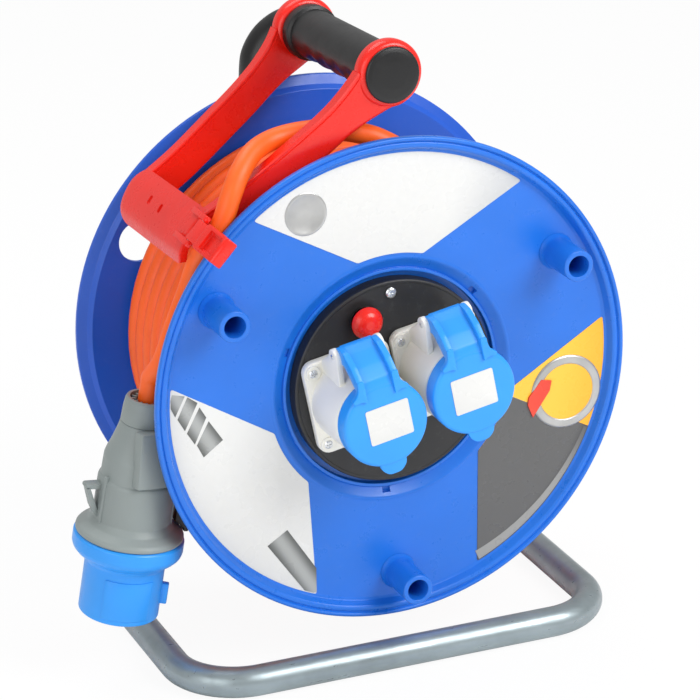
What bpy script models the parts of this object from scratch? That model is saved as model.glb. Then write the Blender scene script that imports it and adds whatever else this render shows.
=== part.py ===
"""Extension cord reel: a cable drum on a bent tube stand, with two sockets, a guide bail and a plug.

Sizes are millimetres, turned into metres by MM where a mesh is made. Three empties carry the parts:
the drum axis (X right, Y to the rear from the front rim's plane, Z up from the axle), the grip axis,
and the plug's own axis. +Z is up, and the reel stands on Z = 0 with its front towards -Y.
"""
import math

import bmesh
import bpy
from mathutils import Matrix, Vector

MM = 0.001

# Drum
FLANGE_RADIUS = 145.0
FACE_Y = 5.75                     # flange face, set back from the rim's plane
FRONT_WALL_Y = 8.5                # inner faces of the two flanges
REAR_WALL_Y = 134.5
REAR_RIM_Y = 143.0
PLATE_EDGE_RADIUS = 137.0
BARREL_RADIUS = 75.0
BARREL_WALL = 2.5
SPIGOT_RADIUS = 71.8
RECESS_RADIUS = 64.5
RECESS_EDGE = 72.0
PANEL_RADIUS = 60.85
PANEL_Y = 3.1
LEDGE_Y = 12.0
PEG_CIRCLE = 120.5
PEG_ANGLES = {"left": 151.2, "right": 31.2, "lower": 271.2}
PEG_RADIUS = 9.2
PEG_BORE = 6.35
PEG_TIP_Y = -23.9
FLANGE_HOLE_RADIUS = 12.5

# Cable: its wound part, and the free end that hangs down to the plug
CABLE_RADIUS = 6.0
LAYER_RADIUS = 112.0
LAYER_PITCH = 12.6
LAYER_TURNS = 9
POINTS_PER_TURN = 24
LAYER_FRONT_Y = 14.8
LEAVING_ANGLE = 52.0
LEAVING_LENGTH = 54.0
CORE_RADIUS = 104.5
LEAVING_Y = 14.8
FREE_ROUTE = [
    (-1.5, 17.0, 140.3), (-12.3, 20.0, 144.3), (-22.7, 24.0, 146.3), (-32.1, 27.5, 146.9),
    (-48.4, 31.0, 145.6), (-62.7, 30.2, 143.4), (-75.9, 23.0, 140.0), (-86.3, 15.0, 132.3),
    (-93.7, 10.5, 121.0), (-98.9, 10.5, 106.9), (-105.9, 11.8, 95.9), (-112.7, 13.8, 85.0),
    (-118.0, 15.8, 69.1), (-125.5, 18.0, 48.8), (-131.8, 22.0, 27.6),
]

# Stand
AXLE_HEIGHT = 171.0
TUBE_RADIUS = 9.0
TUBE_SIDES = 12                   # turned so that a flat side of the floor loop faces down
FRONT_RUN_Y = -15.0
SIDE_RUN_X = 131.0
CORNER_RADIUS = 38.0
BRACKET_Y = 145.2
BRACKET_THICK = 3.0
GAP = 0.3
UPRIGHT_Y = BRACKET_Y + BRACKET_THICK + GAP + TUBE_RADIUS
STRAP_Y = UPRIGHT_Y + TUBE_RADIUS + GAP
HUB_X = 26.0
HUB_Z = -8.0
NECK_TOP_X = -19.5
BOLT_PLACES = {"left": (-43.0, 10.0), "right": (43.0, 10.0)}
AXLE_RADIUS = 8.0
STUD_RADIUS = 5.0
STUD_END_Y = STRAP_Y + BRACKET_THICK + 6.3

# Handle and guide bail
GRIP_HEIGHT = 181.1
GRIP_SLOPE = math.radians(2.6)
GRIP_RADIUS = 14.5
NECK_RADIUS = 11.5
ROD_RADIUS = 8.0
RING_RADIUS = 19.3
RING_BORE = 12.0
ARM_HALF_WIDTH = 10.0
ARM_HALF_THICKNESS = 4.5
FRONT_ARM = [(-10.7, -9.2, 9.2), (-17, -15, 11), (-39, -34.4, 16.5), (-57.7, -48.8, 19.5),
             (-82, -67, 24.3), (-101.5, -79.3, 27.5), (-113, -87.3, 29)]
REAR_ARM = [(-10.7, -9.2, 131.9), (-17, -15, 130.5), (-39, -34.4, 128.3), (-57.7, -48.8, 126.0),
            (-82, -67, 123.0), (-101.5, -79.3, 120.5), (-113, -87.3, 119.0)]
CROSSBAR_OUTLINE = [(-103.5, -68.5), (-111.5, -75), (-117, -83), (-120.5, -91), (-121, -97.5),
                    (-116.2, -97.5), (-115.4, -91.5), (-112.3, -84.8), (-107.5, -78), (-100.5, -72.3)]
CROSSBAR_FROM = 24.8
CROSSBAR_TO = 130.0
CLIP_ANGLE = math.radians(137.6)
CLIP_PIN_RADIUS_FROM_AXLE = 154.2
CLIP_PIN_Y = 10.5
CLIP_WIDTH = 15.0

# Sockets, breaker and panel
SOCKET_TILT = math.radians(11.0)
SOCKET_PLACES = {"left": (-27.2, -3.2), "right": (26.6, 7.3)}
PLATE_SIZE = (53.0, 57.0)
SOCKET_SCREWS = {"upper_left": (-21.0, 22.5), "upper_right": (21.0, 22.5),
                 "lower_left": (-21.0, -22.5), "lower_right": (21.0, -22.5)}
COLLAR_RADIUS = 23.4
COLLAR_BORE = 22.5
COLLAR_TIP_Y = -43.0
LID_RADIUS = 25.2
LID_FACE_Y = -49.0
LID_ARM_Y = -51.0
LID_PIN_Y = -26.0
LID_PIN_Z = 39.5
SLEEVE_CIRCLE = 8.6
RESET_PLACE = (-18.6, 39.9)
PANEL_SCREW_PLACE = (-2.0, 54.0)

# Plug: its top, its direction, and its outline along that direction
PLUG_TOP = Vector((-139.2, 32.0, -4.6))
PLUG_DIRECTION = Vector((-0.154, 0.063, -0.986)).normalized()
NUT_FROM = -7.0
NUT_TO = 7.0
HOUSING_TO = 76.0
COLLAR_FLANGE_RADIUS = 32.0
SHROUD_RADIUS = 23.2
SHROUD_TO = 126.0
PIN_CIRCLE = 9.0
PLUG_PINS = {"earth": (270.0, 3.2), "live": (30.0, 2.4), "neutral": (150.0, 2.4)}

# The front rim's plane lies where the reel's box, without the plug, is centred on the origin.
FRONT_RIM_Y = -(STUD_END_Y + LID_ARM_Y) / 2


# ---------------------------------------------------------------- tools

def clear_scene():
    for obj in list(bpy.data.objects):
        bpy.data.objects.remove(obj, do_unlink=True)


def finish(name, colour, roughness, metallic=0.0):
    material = bpy.data.materials.new(name)
    material.use_nodes = True
    shader = material.node_tree.nodes["Principled BSDF"]
    shader.inputs["Base Color"].default_value = (*colour, 1.0)
    shader.inputs["Roughness"].default_value = roughness
    shader.inputs["Metallic"].default_value = metallic
    return material


def empty(name, parent=None, at=(0, 0, 0), turn=None):
    marker = bpy.data.objects.new(name, None)
    bpy.context.collection.objects.link(marker)
    marker.parent = parent
    marker.location = Vector(at) * MM
    if turn:
        marker.rotation_euler = turn
    return marker


def solid(name, bm, material, parent, at=(0, 0, 0), turn=None):
    """A closed mesh in millimetres becomes one named object."""
    bmesh.ops.remove_doubles(bm, verts=bm.verts, dist=0.001)
    bmesh.ops.recalc_face_normals(bm, faces=bm.faces)
    bmesh.ops.scale(bm, vec=(MM, MM, MM), verts=bm.verts)
    mesh = bpy.data.meshes.new(name)
    bm.to_mesh(mesh)
    bm.free()
    mesh.shade_smooth()
    mesh.set_sharp_from_angle(angle=math.radians(35))
    mesh.materials.append(material)
    obj = bpy.data.objects.new(name, mesh)
    bpy.context.collection.objects.link(obj)
    obj.parent = parent
    obj.location = Vector(at) * MM
    if turn:
        obj.rotation_euler = turn
    return obj


def turned(profile, steps):
    """A (radius, y) outline turned round the Y axis. It may start and end on the axis."""
    bm = bmesh.new()
    verts = [bm.verts.new((radius, y, 0)) for radius, y in profile]
    edges = [bm.edges.new(pair) for pair in zip(verts, verts[1:])]
    on_axis = profile[0][0] == 0 and profile[-1][0] == 0
    if not on_axis:
        edges.append(bm.edges.new((verts[-1], verts[0])))
    bmesh.ops.spin(bm, geom=verts + edges, cent=(0, 0, 0), axis=(0, 1, 0),
                   angle=math.tau, steps=steps, use_merge=True)
    return bm


def prism(outline, start, stop, along="Y"):
    """A flat outline, extruded along Y from (x, z) points or along X from (y, z) points."""
    bm = bmesh.new()
    shift = Vector((0, stop - start, 0)) if along == "Y" else Vector((stop - start, 0, 0))
    if along == "Y":
        corners = [(u, start, v) for u, v in outline]
    else:
        corners = [(start, u, v) for u, v in outline]
    face = bm.faces.new([bm.verts.new(corner) for corner in corners])
    grown = bmesh.ops.extrude_face_region(bm, geom=[face])["geom"]
    moved = [item for item in grown if isinstance(item, bmesh.types.BMVert)]
    bmesh.ops.translate(bm, vec=shift, verts=moved)
    return bm


def loft(rings):
    """A skin over rings of equal point counts, closed at both ends."""
    bm = bmesh.new()
    loops = [[bm.verts.new(point) for point in ring] for ring in rings]
    count = len(loops[0])
    for near, far in zip(loops, loops[1:]):
        for i in range(count):
            j = (i + 1) % count
            bm.faces.new((near[i], near[j], far[j], far[i]))
    bm.faces.new(loops[0])
    bm.faces.new(loops[-1])
    return bm


def box(size, centre):
    bm = bmesh.new()
    bmesh.ops.create_cube(bm, size=1.0)
    bmesh.ops.scale(bm, vec=size, verts=bm.verts)
    bmesh.ops.translate(bm, vec=centre, verts=bm.verts)
    return bm


def rounded_rectangle(width, height, corner, steps=3):
    points = []
    for index, (sx, sz) in enumerate(((1, 1), (-1, 1), (-1, -1), (1, -1))):
        for step in range(steps + 1):
            angle = math.radians(90 * (index + step / steps))
            points.append((sx * (width / 2 - corner) + corner * math.cos(angle),
                           sz * (height / 2 - corner) + corner * math.sin(angle)))
    return points


def guide(obj):
    """A helper solid that only shapes another one."""
    obj.hide_render = True
    obj.display_type = "WIRE"
    return obj


def combine(obj, other, operation):
    guide(other)
    modifier = obj.modifiers.new(other.name, "BOOLEAN")
    modifier.operation = operation
    modifier.solver = "EXACT"
    modifier.object = other


def cut(obj, *others):
    for other in others:
        combine(obj, other, "DIFFERENCE")


def weld(obj, *others):
    for other in others:
        combine(obj, other, "UNION")


def cylinder(name, radius, start, stop, steps, material, parent, at=(0, 0, 0), turn=None):
    profile = [(0, start), (radius, start), (radius, stop), (0, stop)]
    return solid(name, turned(profile, steps), material, parent, at, turn)


def tube(name, points, radius, resolution, material, parent):
    curve = bpy.data.curves.new(name, "CURVE")
    curve.dimensions = "3D"
    curve.bevel_depth = radius * MM
    curve.bevel_resolution = resolution
    curve.use_fill_caps = True
    spline = curve.splines.new("POLY")
    spline.points.add(len(points) - 1)
    for target, point in zip(spline.points, points):
        target.co = (*(Vector(point) * MM), 1.0)
    curve.materials.append(material)
    obj = bpy.data.objects.new(name, curve)
    bpy.context.collection.objects.link(obj)
    obj.parent = parent
    return obj


def swept(points, radius, sides):
    """A round bar along a path in millimetres, as a mesh that a Boolean can cut."""
    points = [Vector(point) for point in points]
    rings = []
    for i, point in enumerate(points):
        ahead = (points[min(i + 1, len(points) - 1)] - points[max(i - 1, 0)]).normalized()
        across = ahead.cross(Vector((1, 0, 0))).normalized()
        other = ahead.cross(across)
        rings.append([point + (across * math.cos(math.tau * k / sides)
                               + other * math.sin(math.tau * k / sides)) * radius
                      for k in range(sides)])
    return loft(rings)


def level_bar(points, radius, sides):
    """A bar along a path, with a flat side facing down wherever the middle of the path runs level."""
    runs = [(points[min(i + 1, len(points) - 1)] - points[max(i - 1, 0)]).normalized()
            for i in range(len(points))]
    middle = len(points) // 2
    above = {middle: Vector((0, 0, 1))}
    for i in [*range(middle + 1, len(points)), *range(middle - 1, -1, -1)]:
        near = i - 1 if i > middle else i + 1
        above[i] = runs[near].rotation_difference(runs[i]) @ above[near]
    rings = []
    for i, point in enumerate(points):
        side = runs[i].cross(above[i])
        angles = [math.tau * (k + 0.5) / sides for k in range(sides)]
        rings.append([point + (above[i] * math.cos(a) + side * math.sin(a)) * radius for a in angles])
    return loft(rings)


def rounded_path(corners, radius, steps):
    """A path through corners, each inner one replaced by an arc of the given radius."""
    corners = [Vector(corner) for corner in corners]
    path = [corners[0]]
    for before, corner, after in zip(corners, corners[1:], corners[2:]):
        back = (before - corner).normalized()
        ahead = (after - corner).normalized()
        half = back.angle(ahead) / 2
        bisector = (back + ahead).normalized()
        centre = corner + bisector * (radius / math.sin(half))
        start = corner + back * (radius / math.tan(half)) - centre
        axis = start.cross(bisector).normalized()
        sweep = math.pi - 2 * half
        for step in range(steps + 1):
            turn = Matrix.Rotation(-sweep * step / steps, 3, axis)
            path.append(centre + turn @ start)
    path.append(corners[-1])
    return path


def smooth_route(points, spacing):
    """Evenly spaced points on a smooth curve through the given ones."""
    points = [Vector(point) for point in points]
    dense = []
    for i in range(len(points) - 1):
        before = points[max(i - 1, 0)]
        here = points[i]
        there = points[i + 1]
        after = points[min(i + 2, len(points) - 1)]
        for step in range(12):
            t = step / 12
            dense.append(0.5 * (2 * here + (there - before) * t
                                + (2 * before - 5 * here + 4 * there - after) * t ** 2
                                + (3 * here - before - 3 * there + after) * t ** 3))
    dense.append(points[-1])
    length = sum((b - a).length for a, b in zip(dense, dense[1:]))
    count = round(length / spacing)
    route = [dense[0]]
    walked = 0.0
    for a, b in zip(dense, dense[1:]):
        stretch = (b - a).length
        while len(route) < count and walked + stretch >= len(route) * length / count:
            share = (len(route) * length / count - walked) / stretch
            route.append(a.lerp(b, share))
        walked += stretch
    route.append(dense[-1])
    return route, length


def polar(radius, degrees, y=0.0):
    angle = math.radians(degrees)
    return Vector((radius * math.cos(angle), y, radius * math.sin(angle)))


# ---------------------------------------------------------------- finishes

def make_finishes():
    return {
        "blue": finish("blue_plastic", (0.06, 0.24, 0.88), 0.35),
        "deep_blue": finish("deep_blue_plastic", (0.02, 0.08, 0.5), 0.35),
        "lid_blue": finish("light_blue_plastic", (0.08, 0.42, 0.9), 0.35),
        "red": finish("red_plastic", (0.85, 0.04, 0.02), 0.4),
        "orange": finish("orange_cable", (0.95, 0.25, 0.06), 0.5),
        "black": finish("black_plastic", (0.02, 0.02, 0.02), 0.45),
        "grey": finish("grey_plastic", (0.32, 0.35, 0.34), 0.5),
        "pale": finish("pale_grey_plastic", (0.7, 0.71, 0.7), 0.45),
        "zinc": finish("zinc_plated_steel", (0.7, 0.74, 0.76), 0.35, 1.0),
        "steel": finish("bare_steel", (0.6, 0.6, 0.6), 0.3, 1.0),
        "brass": finish("brass", (0.8, 0.6, 0.25), 0.3, 1.0),
    }


# ---------------------------------------------------------------- stand and handle

def make_stand(finishes, reel):
    facet = math.pi / TUBE_SIDES
    floor_z = TUBE_RADIUS * math.cos(facet) - AXLE_HEIGHT
    corners = [(NECK_TOP_X, UPRIGHT_Y, 150.0), (-HUB_X, UPRIGHT_Y, HUB_Z),
               (-SIDE_RUN_X, UPRIGHT_Y, floor_z), (-SIDE_RUN_X, FRONT_RUN_Y, floor_z),
               (SIDE_RUN_X, FRONT_RUN_Y, floor_z), (SIDE_RUN_X, UPRIGHT_Y, floor_z),
               (HUB_X, UPRIGHT_Y, HUB_Z), (HUB_X - 1.5, UPRIGHT_Y, 36.0)]
    bar = level_bar(rounded_path(corners, CORNER_RADIUS, 6), TUBE_RADIUS, TUBE_SIDES)
    solid("stand_tube", bar, finishes["zinc"], reel)

    for name, start in (("bracket_plate", BRACKET_Y), ("bracket_strap", STRAP_Y)):
        outline = rounded_rectangle(104, 42, 8)
        plate = solid(name, prism(outline, start, start + BRACKET_THICK), finishes["steel"],
                      reel, at=(0, 0, 3))
        places = list(BOLT_PLACES.values()) + [(0.0, 0.0)]
        for index, (x, z) in enumerate(places):
            radius = STUD_RADIUS + GAP if (x, z) == (0.0, 0.0) else 3.0 + GAP
            cut(plate, cylinder(f"{name}_hole_{index}", radius, start - 5, start + 8, 12,
                                finishes["steel"], reel, at=(x, 0, z)))
    for side, (x, z) in BOLT_PLACES.items():
        head = STRAP_Y + BRACKET_THICK + GAP
        profile = [(0, BRACKET_Y + 0.4), (3.0, BRACKET_Y + 0.4), (3.0, head), (6.0, head),
                   (6.0, head + 3.6), (0, head + 3.6)]
        solid(f"bracket_bolt_{side}", turned(profile, 12), finishes["zinc"], reel, at=(x, 0, z))

    shoulder = BRACKET_Y - GAP
    profile = [(0, 75), (7, 75), (AXLE_RADIUS, 76), (AXLE_RADIUS, 78.3), (6.8, 78.3),
               (6.8, 80.2), (AXLE_RADIUS, 80.2), (AXLE_RADIUS, shoulder),
               (STUD_RADIUS, shoulder), (STUD_RADIUS, STUD_END_Y), (0, STUD_END_Y)]
    solid("axle", turned(profile, 12), finishes["steel"], reel)
    solid("thrust_washer", turned([(AXLE_RADIUS + GAP, 141.3), (17, 141.3), (17, 144.6),
                                   (AXLE_RADIUS + GAP, 144.6)], 16), finishes["steel"], reel)
    nut = [(8.8 * math.cos(math.radians(a)), 8.8 * math.sin(math.radians(a)))
           for a in range(0, 360, 60)]
    nut_from = STRAP_Y + BRACKET_THICK + GAP
    axle_nut = solid("axle_nut", prism(nut, nut_from, nut_from + 5.6), finishes["zinc"], reel)
    cut(axle_nut, cylinder("axle_nut_bore", STUD_RADIUS + GAP, nut_from - 5, nut_from + 12, 16,
                           finishes["zinc"], reel))
    ring = [(11 * math.cos(math.radians(a)), 11 * math.sin(math.radians(a)))
            for a in range(30, 331, 25)]
    ring += [(7.1 * math.cos(math.radians(a)), 7.1 * math.sin(math.radians(a)))
             for a in range(330, 29, -25)]
    solid("retaining_ring", prism(ring, 78.6, 79.9), finishes["steel"], reel)


def make_handle(finishes, reel, grip_axis):
    height = GRIP_HEIGHT - 151 * math.tan(GRIP_SLOPE)
    top = Vector((NECK_TOP_X, UPRIGHT_Y, 150))
    lean = (top - Vector((-HUB_X, UPRIGHT_Y, HUB_Z))).normalized()
    centre_line = [top - lean * 22, top - lean * 2, (-18.0, UPRIGHT_Y - 0.5, 156),
                   (-13.5, UPRIGHT_Y - 2, 164), (-7.5, UPRIGHT_Y - 5, 170),
                   (-2.5, UPRIGHT_Y - 9.2, 173.4), (0, 143.8, height + 0.32),
                   (0, 139.2, height + 0.54)]
    neck = solid("handle_neck", swept(centre_line, NECK_RADIUS, 14), finishes["black"], reel)
    cut(neck, cylinder("neck_socket", TUBE_RADIUS + GAP, -30, GAP, 24, finishes["black"], reel,
                       at=top, turn=Vector((0, 1, 0)).rotation_difference(lean).to_euler()),
        cylinder("neck_rod_socket", ROD_RADIUS + GAP, 120, 149, 16, finishes["black"], grip_axis))
    cylinder("grip_rod", ROD_RADIUS, 2.3, 148.6, 16, finishes["steel"], grip_axis)

    cap = [(0, 0), (15.2, 0), (16, 0.8), (16, 2.7), (11.7, 2.7), (11.7, 14),
           (ROD_RADIUS + GAP, 14), (ROD_RADIUS + GAP, 1.9), (0, 1.9)]
    solid("grip_end_cap", turned(cap, 24), finishes["black"], grip_axis)

    groove_centres = (34.0, 54.0, 74.0, 94.0)
    stations = [14.4, 16.5] + [24 + 5 * i for i in range(17)] + [117, 119, 126.7]
    steps = 16
    rings = []
    for y in stations:
        ring = []
        for step in range(steps):
            angle = math.tau * step / steps
            radius = GRIP_RADIUS
            if y < 16:
                radius = GRIP_RADIUS - 1.0
            if y >= 119:
                radius = GRIP_RADIUS + 2.0
            below = max(0.0, -math.sin(angle))
            groove = sum(math.exp(-((y - centre) / 5.5) ** 2) for centre in groove_centres)
            radius -= 2.0 * groove * below
            ring.append((radius * math.cos(angle), y, radius * math.sin(angle)))
        rings.append(ring)
    grip = solid("grip", loft(rings), finishes["black"], grip_axis)
    weld(grip, cylinder("grip_journal", 11.7, 125, 138.3, steps, finishes["black"], grip_axis))
    cut(grip, cylinder("grip_bore", ROD_RADIUS + GAP, 10, 142, 16, finishes["black"], grip_axis))


# ---------------------------------------------------------------- guide bail, clip and plug

def arm_rings(line):
    """Rectangular stations along an arm, each square to the line in the plane of the arm."""
    rings = []
    for i, (x, z, y) in enumerate(line):
        x0, z0, _ = line[max(i - 1, 0)]
        x1, z1, _ = line[min(i + 1, len(line) - 1)]
        run = Vector((x1 - x0, 0, z1 - z0)).normalized()
        out = Vector((run.z, 0, -run.x))
        middle = Vector((x, y, z))
        rings.append([middle + out * (side * ARM_HALF_WIDTH)
                      + Vector((0, deep * ARM_HALF_THICKNESS, 0))
                      for side, deep in ((-1, -1), (1, -1), (1, 1), (-1, 1))])
    return rings


def make_bail(finishes, reel, grip_axis):
    red = finishes["red"]
    bail = solid("guide_bail", prism(CROSSBAR_OUTLINE, CROSSBAR_FROM, CROSSBAR_TO), red, grip_axis)
    for name, line, ring_from in (("front", FRONT_ARM, 3.0), ("rear", REAR_ARM, 127.0)):
        ring = [(RING_BORE, ring_from), (RING_RADIUS, ring_from), (RING_RADIUS, ring_from + 11),
                (RING_BORE, ring_from + 11)]
        arm = solid(f"{name}_arm", loft(arm_rings(line)), red, grip_axis)
        collar = solid(f"{name}_ring", turned(ring, 20), red, grip_axis)
        weld(arm, collar)
        cut(arm, cylinder(f"{name}_ring_bore", RING_BORE, ring_from - 3, ring_from + 14, 20, red,
                          grip_axis))
        weld(bail, arm)

    outward = Vector((math.cos(CLIP_ANGLE), 0, math.sin(CLIP_ANGLE)))
    clip_axis = empty("clip_axis", reel, at=outward * CLIP_PIN_RADIUS_FROM_AXLE
                      + Vector((0, CLIP_PIN_Y, 0)), turn=(0, math.pi / 2 - CLIP_ANGLE, 0))
    half = CLIP_WIDTH / 2
    for name, x in (("near", half + 2.2), ("far", -half - 2.2)):
        weld(bail, solid(f"clip_lug_{name}", box((3.6, 23.0, 4.4), (x, 8.5, 0.0)), red, clip_axis),
             solid(f"clip_lug_{name}_foot", box((3.6, 6.0, 9.0), (x, 17.5, -4.0)), red, clip_axis))
    cut(bail, cylinder("clip_lug_bore", 1.8, -20, 20, 12, red, clip_axis,
                       turn=(0, 0, math.radians(90))))
    cylinder("clip_pin", 1.5, -half - 4, half + 4, 10, finishes["steel"], clip_axis,
             turn=(0, 0, math.radians(90)))
    clip_outline = [(2.8, -1.0), (2.8, 1.4), (1.2, 3.0), (-14, 2.8), (-18, 3.2), (-36.5, 1.6),
                    (-38, 0.2), (-38, -5), (-36.5, -6.5), (-18, -6), (-15, -9.6), (-11.8, -9.6),
                    (-11.8, -1.2), (-3.0, -1.2), (-1.5, -2.6), (1.5, -2.6)]
    clip = solid("cable_clip", prism(clip_outline, -half, half, along="X"), red, clip_axis)
    window = box((10.5, 12.0, 3.0), (0, -27.5, 3.0))
    cut(clip, solid("clip_window", window, red, clip_axis),
        cylinder("clip_bore", 1.8, -20, 20, 12, red, clip_axis, turn=(0, 0, math.radians(90))))


def plug_frame(reel):
    """An empty whose +Y runs down the plug, with +Z to the front and +X to the left."""
    front = Vector((0, -1, 0))
    front = (front - PLUG_DIRECTION * front.dot(PLUG_DIRECTION)).normalized()
    side = PLUG_DIRECTION.cross(front)
    turn = Matrix((side, PLUG_DIRECTION, front)).transposed().to_euler()
    return empty("plug_axis", reel, at=PLUG_TOP, turn=turn)


def make_plug(finishes, plug_axis):
    grey = finishes["grey"]
    blue = finishes["lid_blue"]
    nut = [(6.5, NUT_FROM), (11.0, NUT_FROM), (14.0, -3.0), (14.0, NUT_TO), (6.5, NUT_TO)]
    solid("plug_gland_nut", turned(nut, 16), grey, plug_axis)

    outline = [(0, NUT_TO + GAP), (13, NUT_TO + GAP), (15, 12), (17.5, 20), (20.5, 27),
               (21.3, 41), (22.5, 41.5), (22.5, 68), (24.5, 71), (24.5, HOUSING_TO), (0, HOUSING_TO)]
    housing = solid("plug_housing", turned(outline, 20), grey, plug_axis)
    hook = [(18, 42), (25.5, 43), (27, 60), (31, 65), (35, 52), (38, 51), (37.5, 66), (31, 73),
            (18, 74)]
    hook_plan = [(x, -y) for x, y in hook]
    weld(housing,
         solid("plug_hook", prism(hook_plan, -3.5, 3.5), grey, plug_axis,
               turn=(math.radians(90), 0, 0)),
         solid("plug_cord_clamp", box((10, 30, 8), (0, 26, 17)), grey, plug_axis))

    collar = [(0, HOUSING_TO + GAP), (31, HOUSING_TO + GAP), (COLLAR_FLANGE_RADIUS, 77.5),
              (COLLAR_FLANGE_RADIUS, 84), (29, 89), (SHROUD_RADIUS, 93), (SHROUD_RADIUS, SHROUD_TO),
              (SHROUD_RADIUS - 2, SHROUD_TO), (SHROUD_RADIUS - 2, 92), (0, 92)]
    shroud = solid("plug_collar", turned(collar, 24), blue, plug_axis)
    key = box((4.0, 32, 5.0), (0, 108, SHROUD_RADIUS + 0.5))
    weld(shroud, solid("plug_key", key, blue, plug_axis, turn=(0, math.radians(-48), 0)))
    for name, (angle, radius) in PLUG_PINS.items():
        place = polar(PIN_CIRCLE, angle)
        cylinder(f"plug_{name}_pin", radius, 92.3, 122.0, 10, finishes["brass"], plug_axis, at=place)
    catch = [(-25.6, -66), (-25.6, -75.5), (-32, -75.5), (-34.5, -72), (-34.5, -66), (-31, -64)]
    solid("plug_catch", prism(catch, -4, 4), finishes["black"], plug_axis,
          turn=(math.radians(90), 0, 0))


# ---------------------------------------------------------------- cable

def layer_points():
    """The outer layer: turns from the rear flange to the front one, then a straight leaving run."""
    last = LAYER_TURNS * POINTS_PER_TURN
    turns = []
    for i in range(last + 1):
        angle = LEAVING_ANGLE - 360.0 * (last - i) / POINTS_PER_TURN
        back = LAYER_PITCH * (last - i) / POINTS_PER_TURN
        turns.append(polar(LAYER_RADIUS, angle, LAYER_FRONT_Y + back))
    lead = polar(1.0, LEAVING_ANGLE + 90.0)
    start = turns[0] - lead * (2 * CABLE_RADIUS) + Vector((0, 0.1, 0))
    stop = turns[-1] + lead * LEAVING_LENGTH
    stop.y = LEAVING_Y
    return [start] + turns + [stop], lead


def least_gap(points):
    """The narrowest space between two turns, measured between stretches of the centre line."""
    least = math.inf
    for i, point in enumerate(points[:-1]):
        for j in range(i + POINTS_PER_TURN // 2, len(points) - 1):
            a, b = points[j], points[j + 1]
            share = max(0.0, min(1.0, (point - a).dot(b - a) / (b - a).length_squared))
            least = min(least, (point - a.lerp(b, share)).length)
    return least - 2 * CABLE_RADIUS


def make_cable(finishes, drum_axis, reel):
    orange = finishes["orange"]
    core = [(BARREL_RADIUS + GAP, FRONT_WALL_Y + GAP), (CORE_RADIUS, FRONT_WALL_Y + GAP),
            (CORE_RADIUS, REAR_WALL_Y - GAP), (BARREL_RADIUS + GAP, REAR_WALL_Y - GAP)]
    solid("cable_inner_layers", turned(core, 32), orange, drum_axis)

    points, lead = layer_points()
    print(f"outer cable layer: least gap to itself {least_gap(points):.2f} mm")
    tube("cable_outer_layer", points, CABLE_RADIUS, 1, orange, drum_axis)

    start = points[-1] + lead * GAP
    first = start + lead * (2 * CABLE_RADIUS)
    last = PLUG_TOP + PLUG_DIRECTION * (NUT_FROM - 2 * CABLE_RADIUS)
    end = PLUG_TOP + PLUG_DIRECTION * (NUT_TO - GAP)
    route, length = smooth_route([first] + FREE_ROUTE + [last], 3 * CABLE_RADIUS)
    route = [start] + route + [end]
    length += (first - start).length + (end - last).length
    print(f"free cable: {length:.0f} mm, {len(route)} points")
    tube("cable_free_end", route, CABLE_RADIUS, 2, orange, reel)


# ---------------------------------------------------------------- drum

def make_flanges(finishes, drum_axis):
    front = [(57.8, LEDGE_Y), (RECESS_RADIUS, LEDGE_Y), (RECESS_RADIUS, 7.5), (66.4, 7.5),
             (66.4, 9.2), (RECESS_EDGE, FACE_Y), (136, FACE_Y), (139, 1.0), (141.4, 0.8),
             (142.2, 1.6), (143, 0), (144.4, 0), (FLANGE_RADIUS, 0.8),
             (FLANGE_RADIUS, 3.4), (139.5, 5.6), (PLATE_EDGE_RADIUS, FRONT_WALL_Y),
             (SPIGOT_RADIUS, FRONT_WALL_Y), (SPIGOT_RADIUS, 15), (57.8, 15)]
    flange = solid("front_flange", turned(front, 48), finishes["blue"], drum_axis)
    x, z = PANEL_SCREW_PLACE
    lug = [(0, 6.5), (3.5, 6.5), (3.5, LEDGE_Y), (5.6, LEDGE_Y), (5.6, 14.8), (0, 14.8)]
    weld(flange, solid("panel_screw_lug", turned(lug, 12), finishes["blue"], drum_axis, at=(x, 0, z)))
    cut(flange, cylinder("panel_screw_thread", 1.9, 0, 13, 10, finishes["blue"], drum_axis,
                         at=(x, 0, z)))

    inner = REAR_WALL_Y - 3.0
    rear = [(10.8, 82), (15, 82), (17, inner), (SPIGOT_RADIUS, inner), (SPIGOT_RADIUS, REAR_WALL_Y),
            (PLATE_EDGE_RADIUS, REAR_WALL_Y), (139.5, 137.4), (FLANGE_RADIUS, 139.6),
            (FLANGE_RADIUS, 142.2), (143.6, REAR_RIM_Y), (139, 142), (136, 137.25), (30, 137.25),
            (26, 141), (10.8, 141)]
    back = solid("rear_flange", turned(rear, 48), finishes["deep_blue"], drum_axis)
    for side, angle in PEG_ANGLES.items():
        cut(back, cylinder(f"flange_hole_{side}", FLANGE_HOLE_RADIUS, 125, 150, 20,
                           finishes["deep_blue"], drum_axis, at=polar(PEG_CIRCLE, angle)))

    peg = [(PEG_BORE, PEG_TIP_Y), (8.8, PEG_TIP_Y), (PEG_RADIUS, PEG_TIP_Y + 0.7),
           (PEG_RADIUS, 2.6), (10.8, 4.2), (10.8, FACE_Y - GAP), (PEG_BORE, FACE_Y - GAP)]
    for side, angle in PEG_ANGLES.items():
        solid(f"winding_peg_{side}", turned(peg, 16), finishes["blue"], drum_axis,
              at=polar(PEG_CIRCLE, angle))


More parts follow.
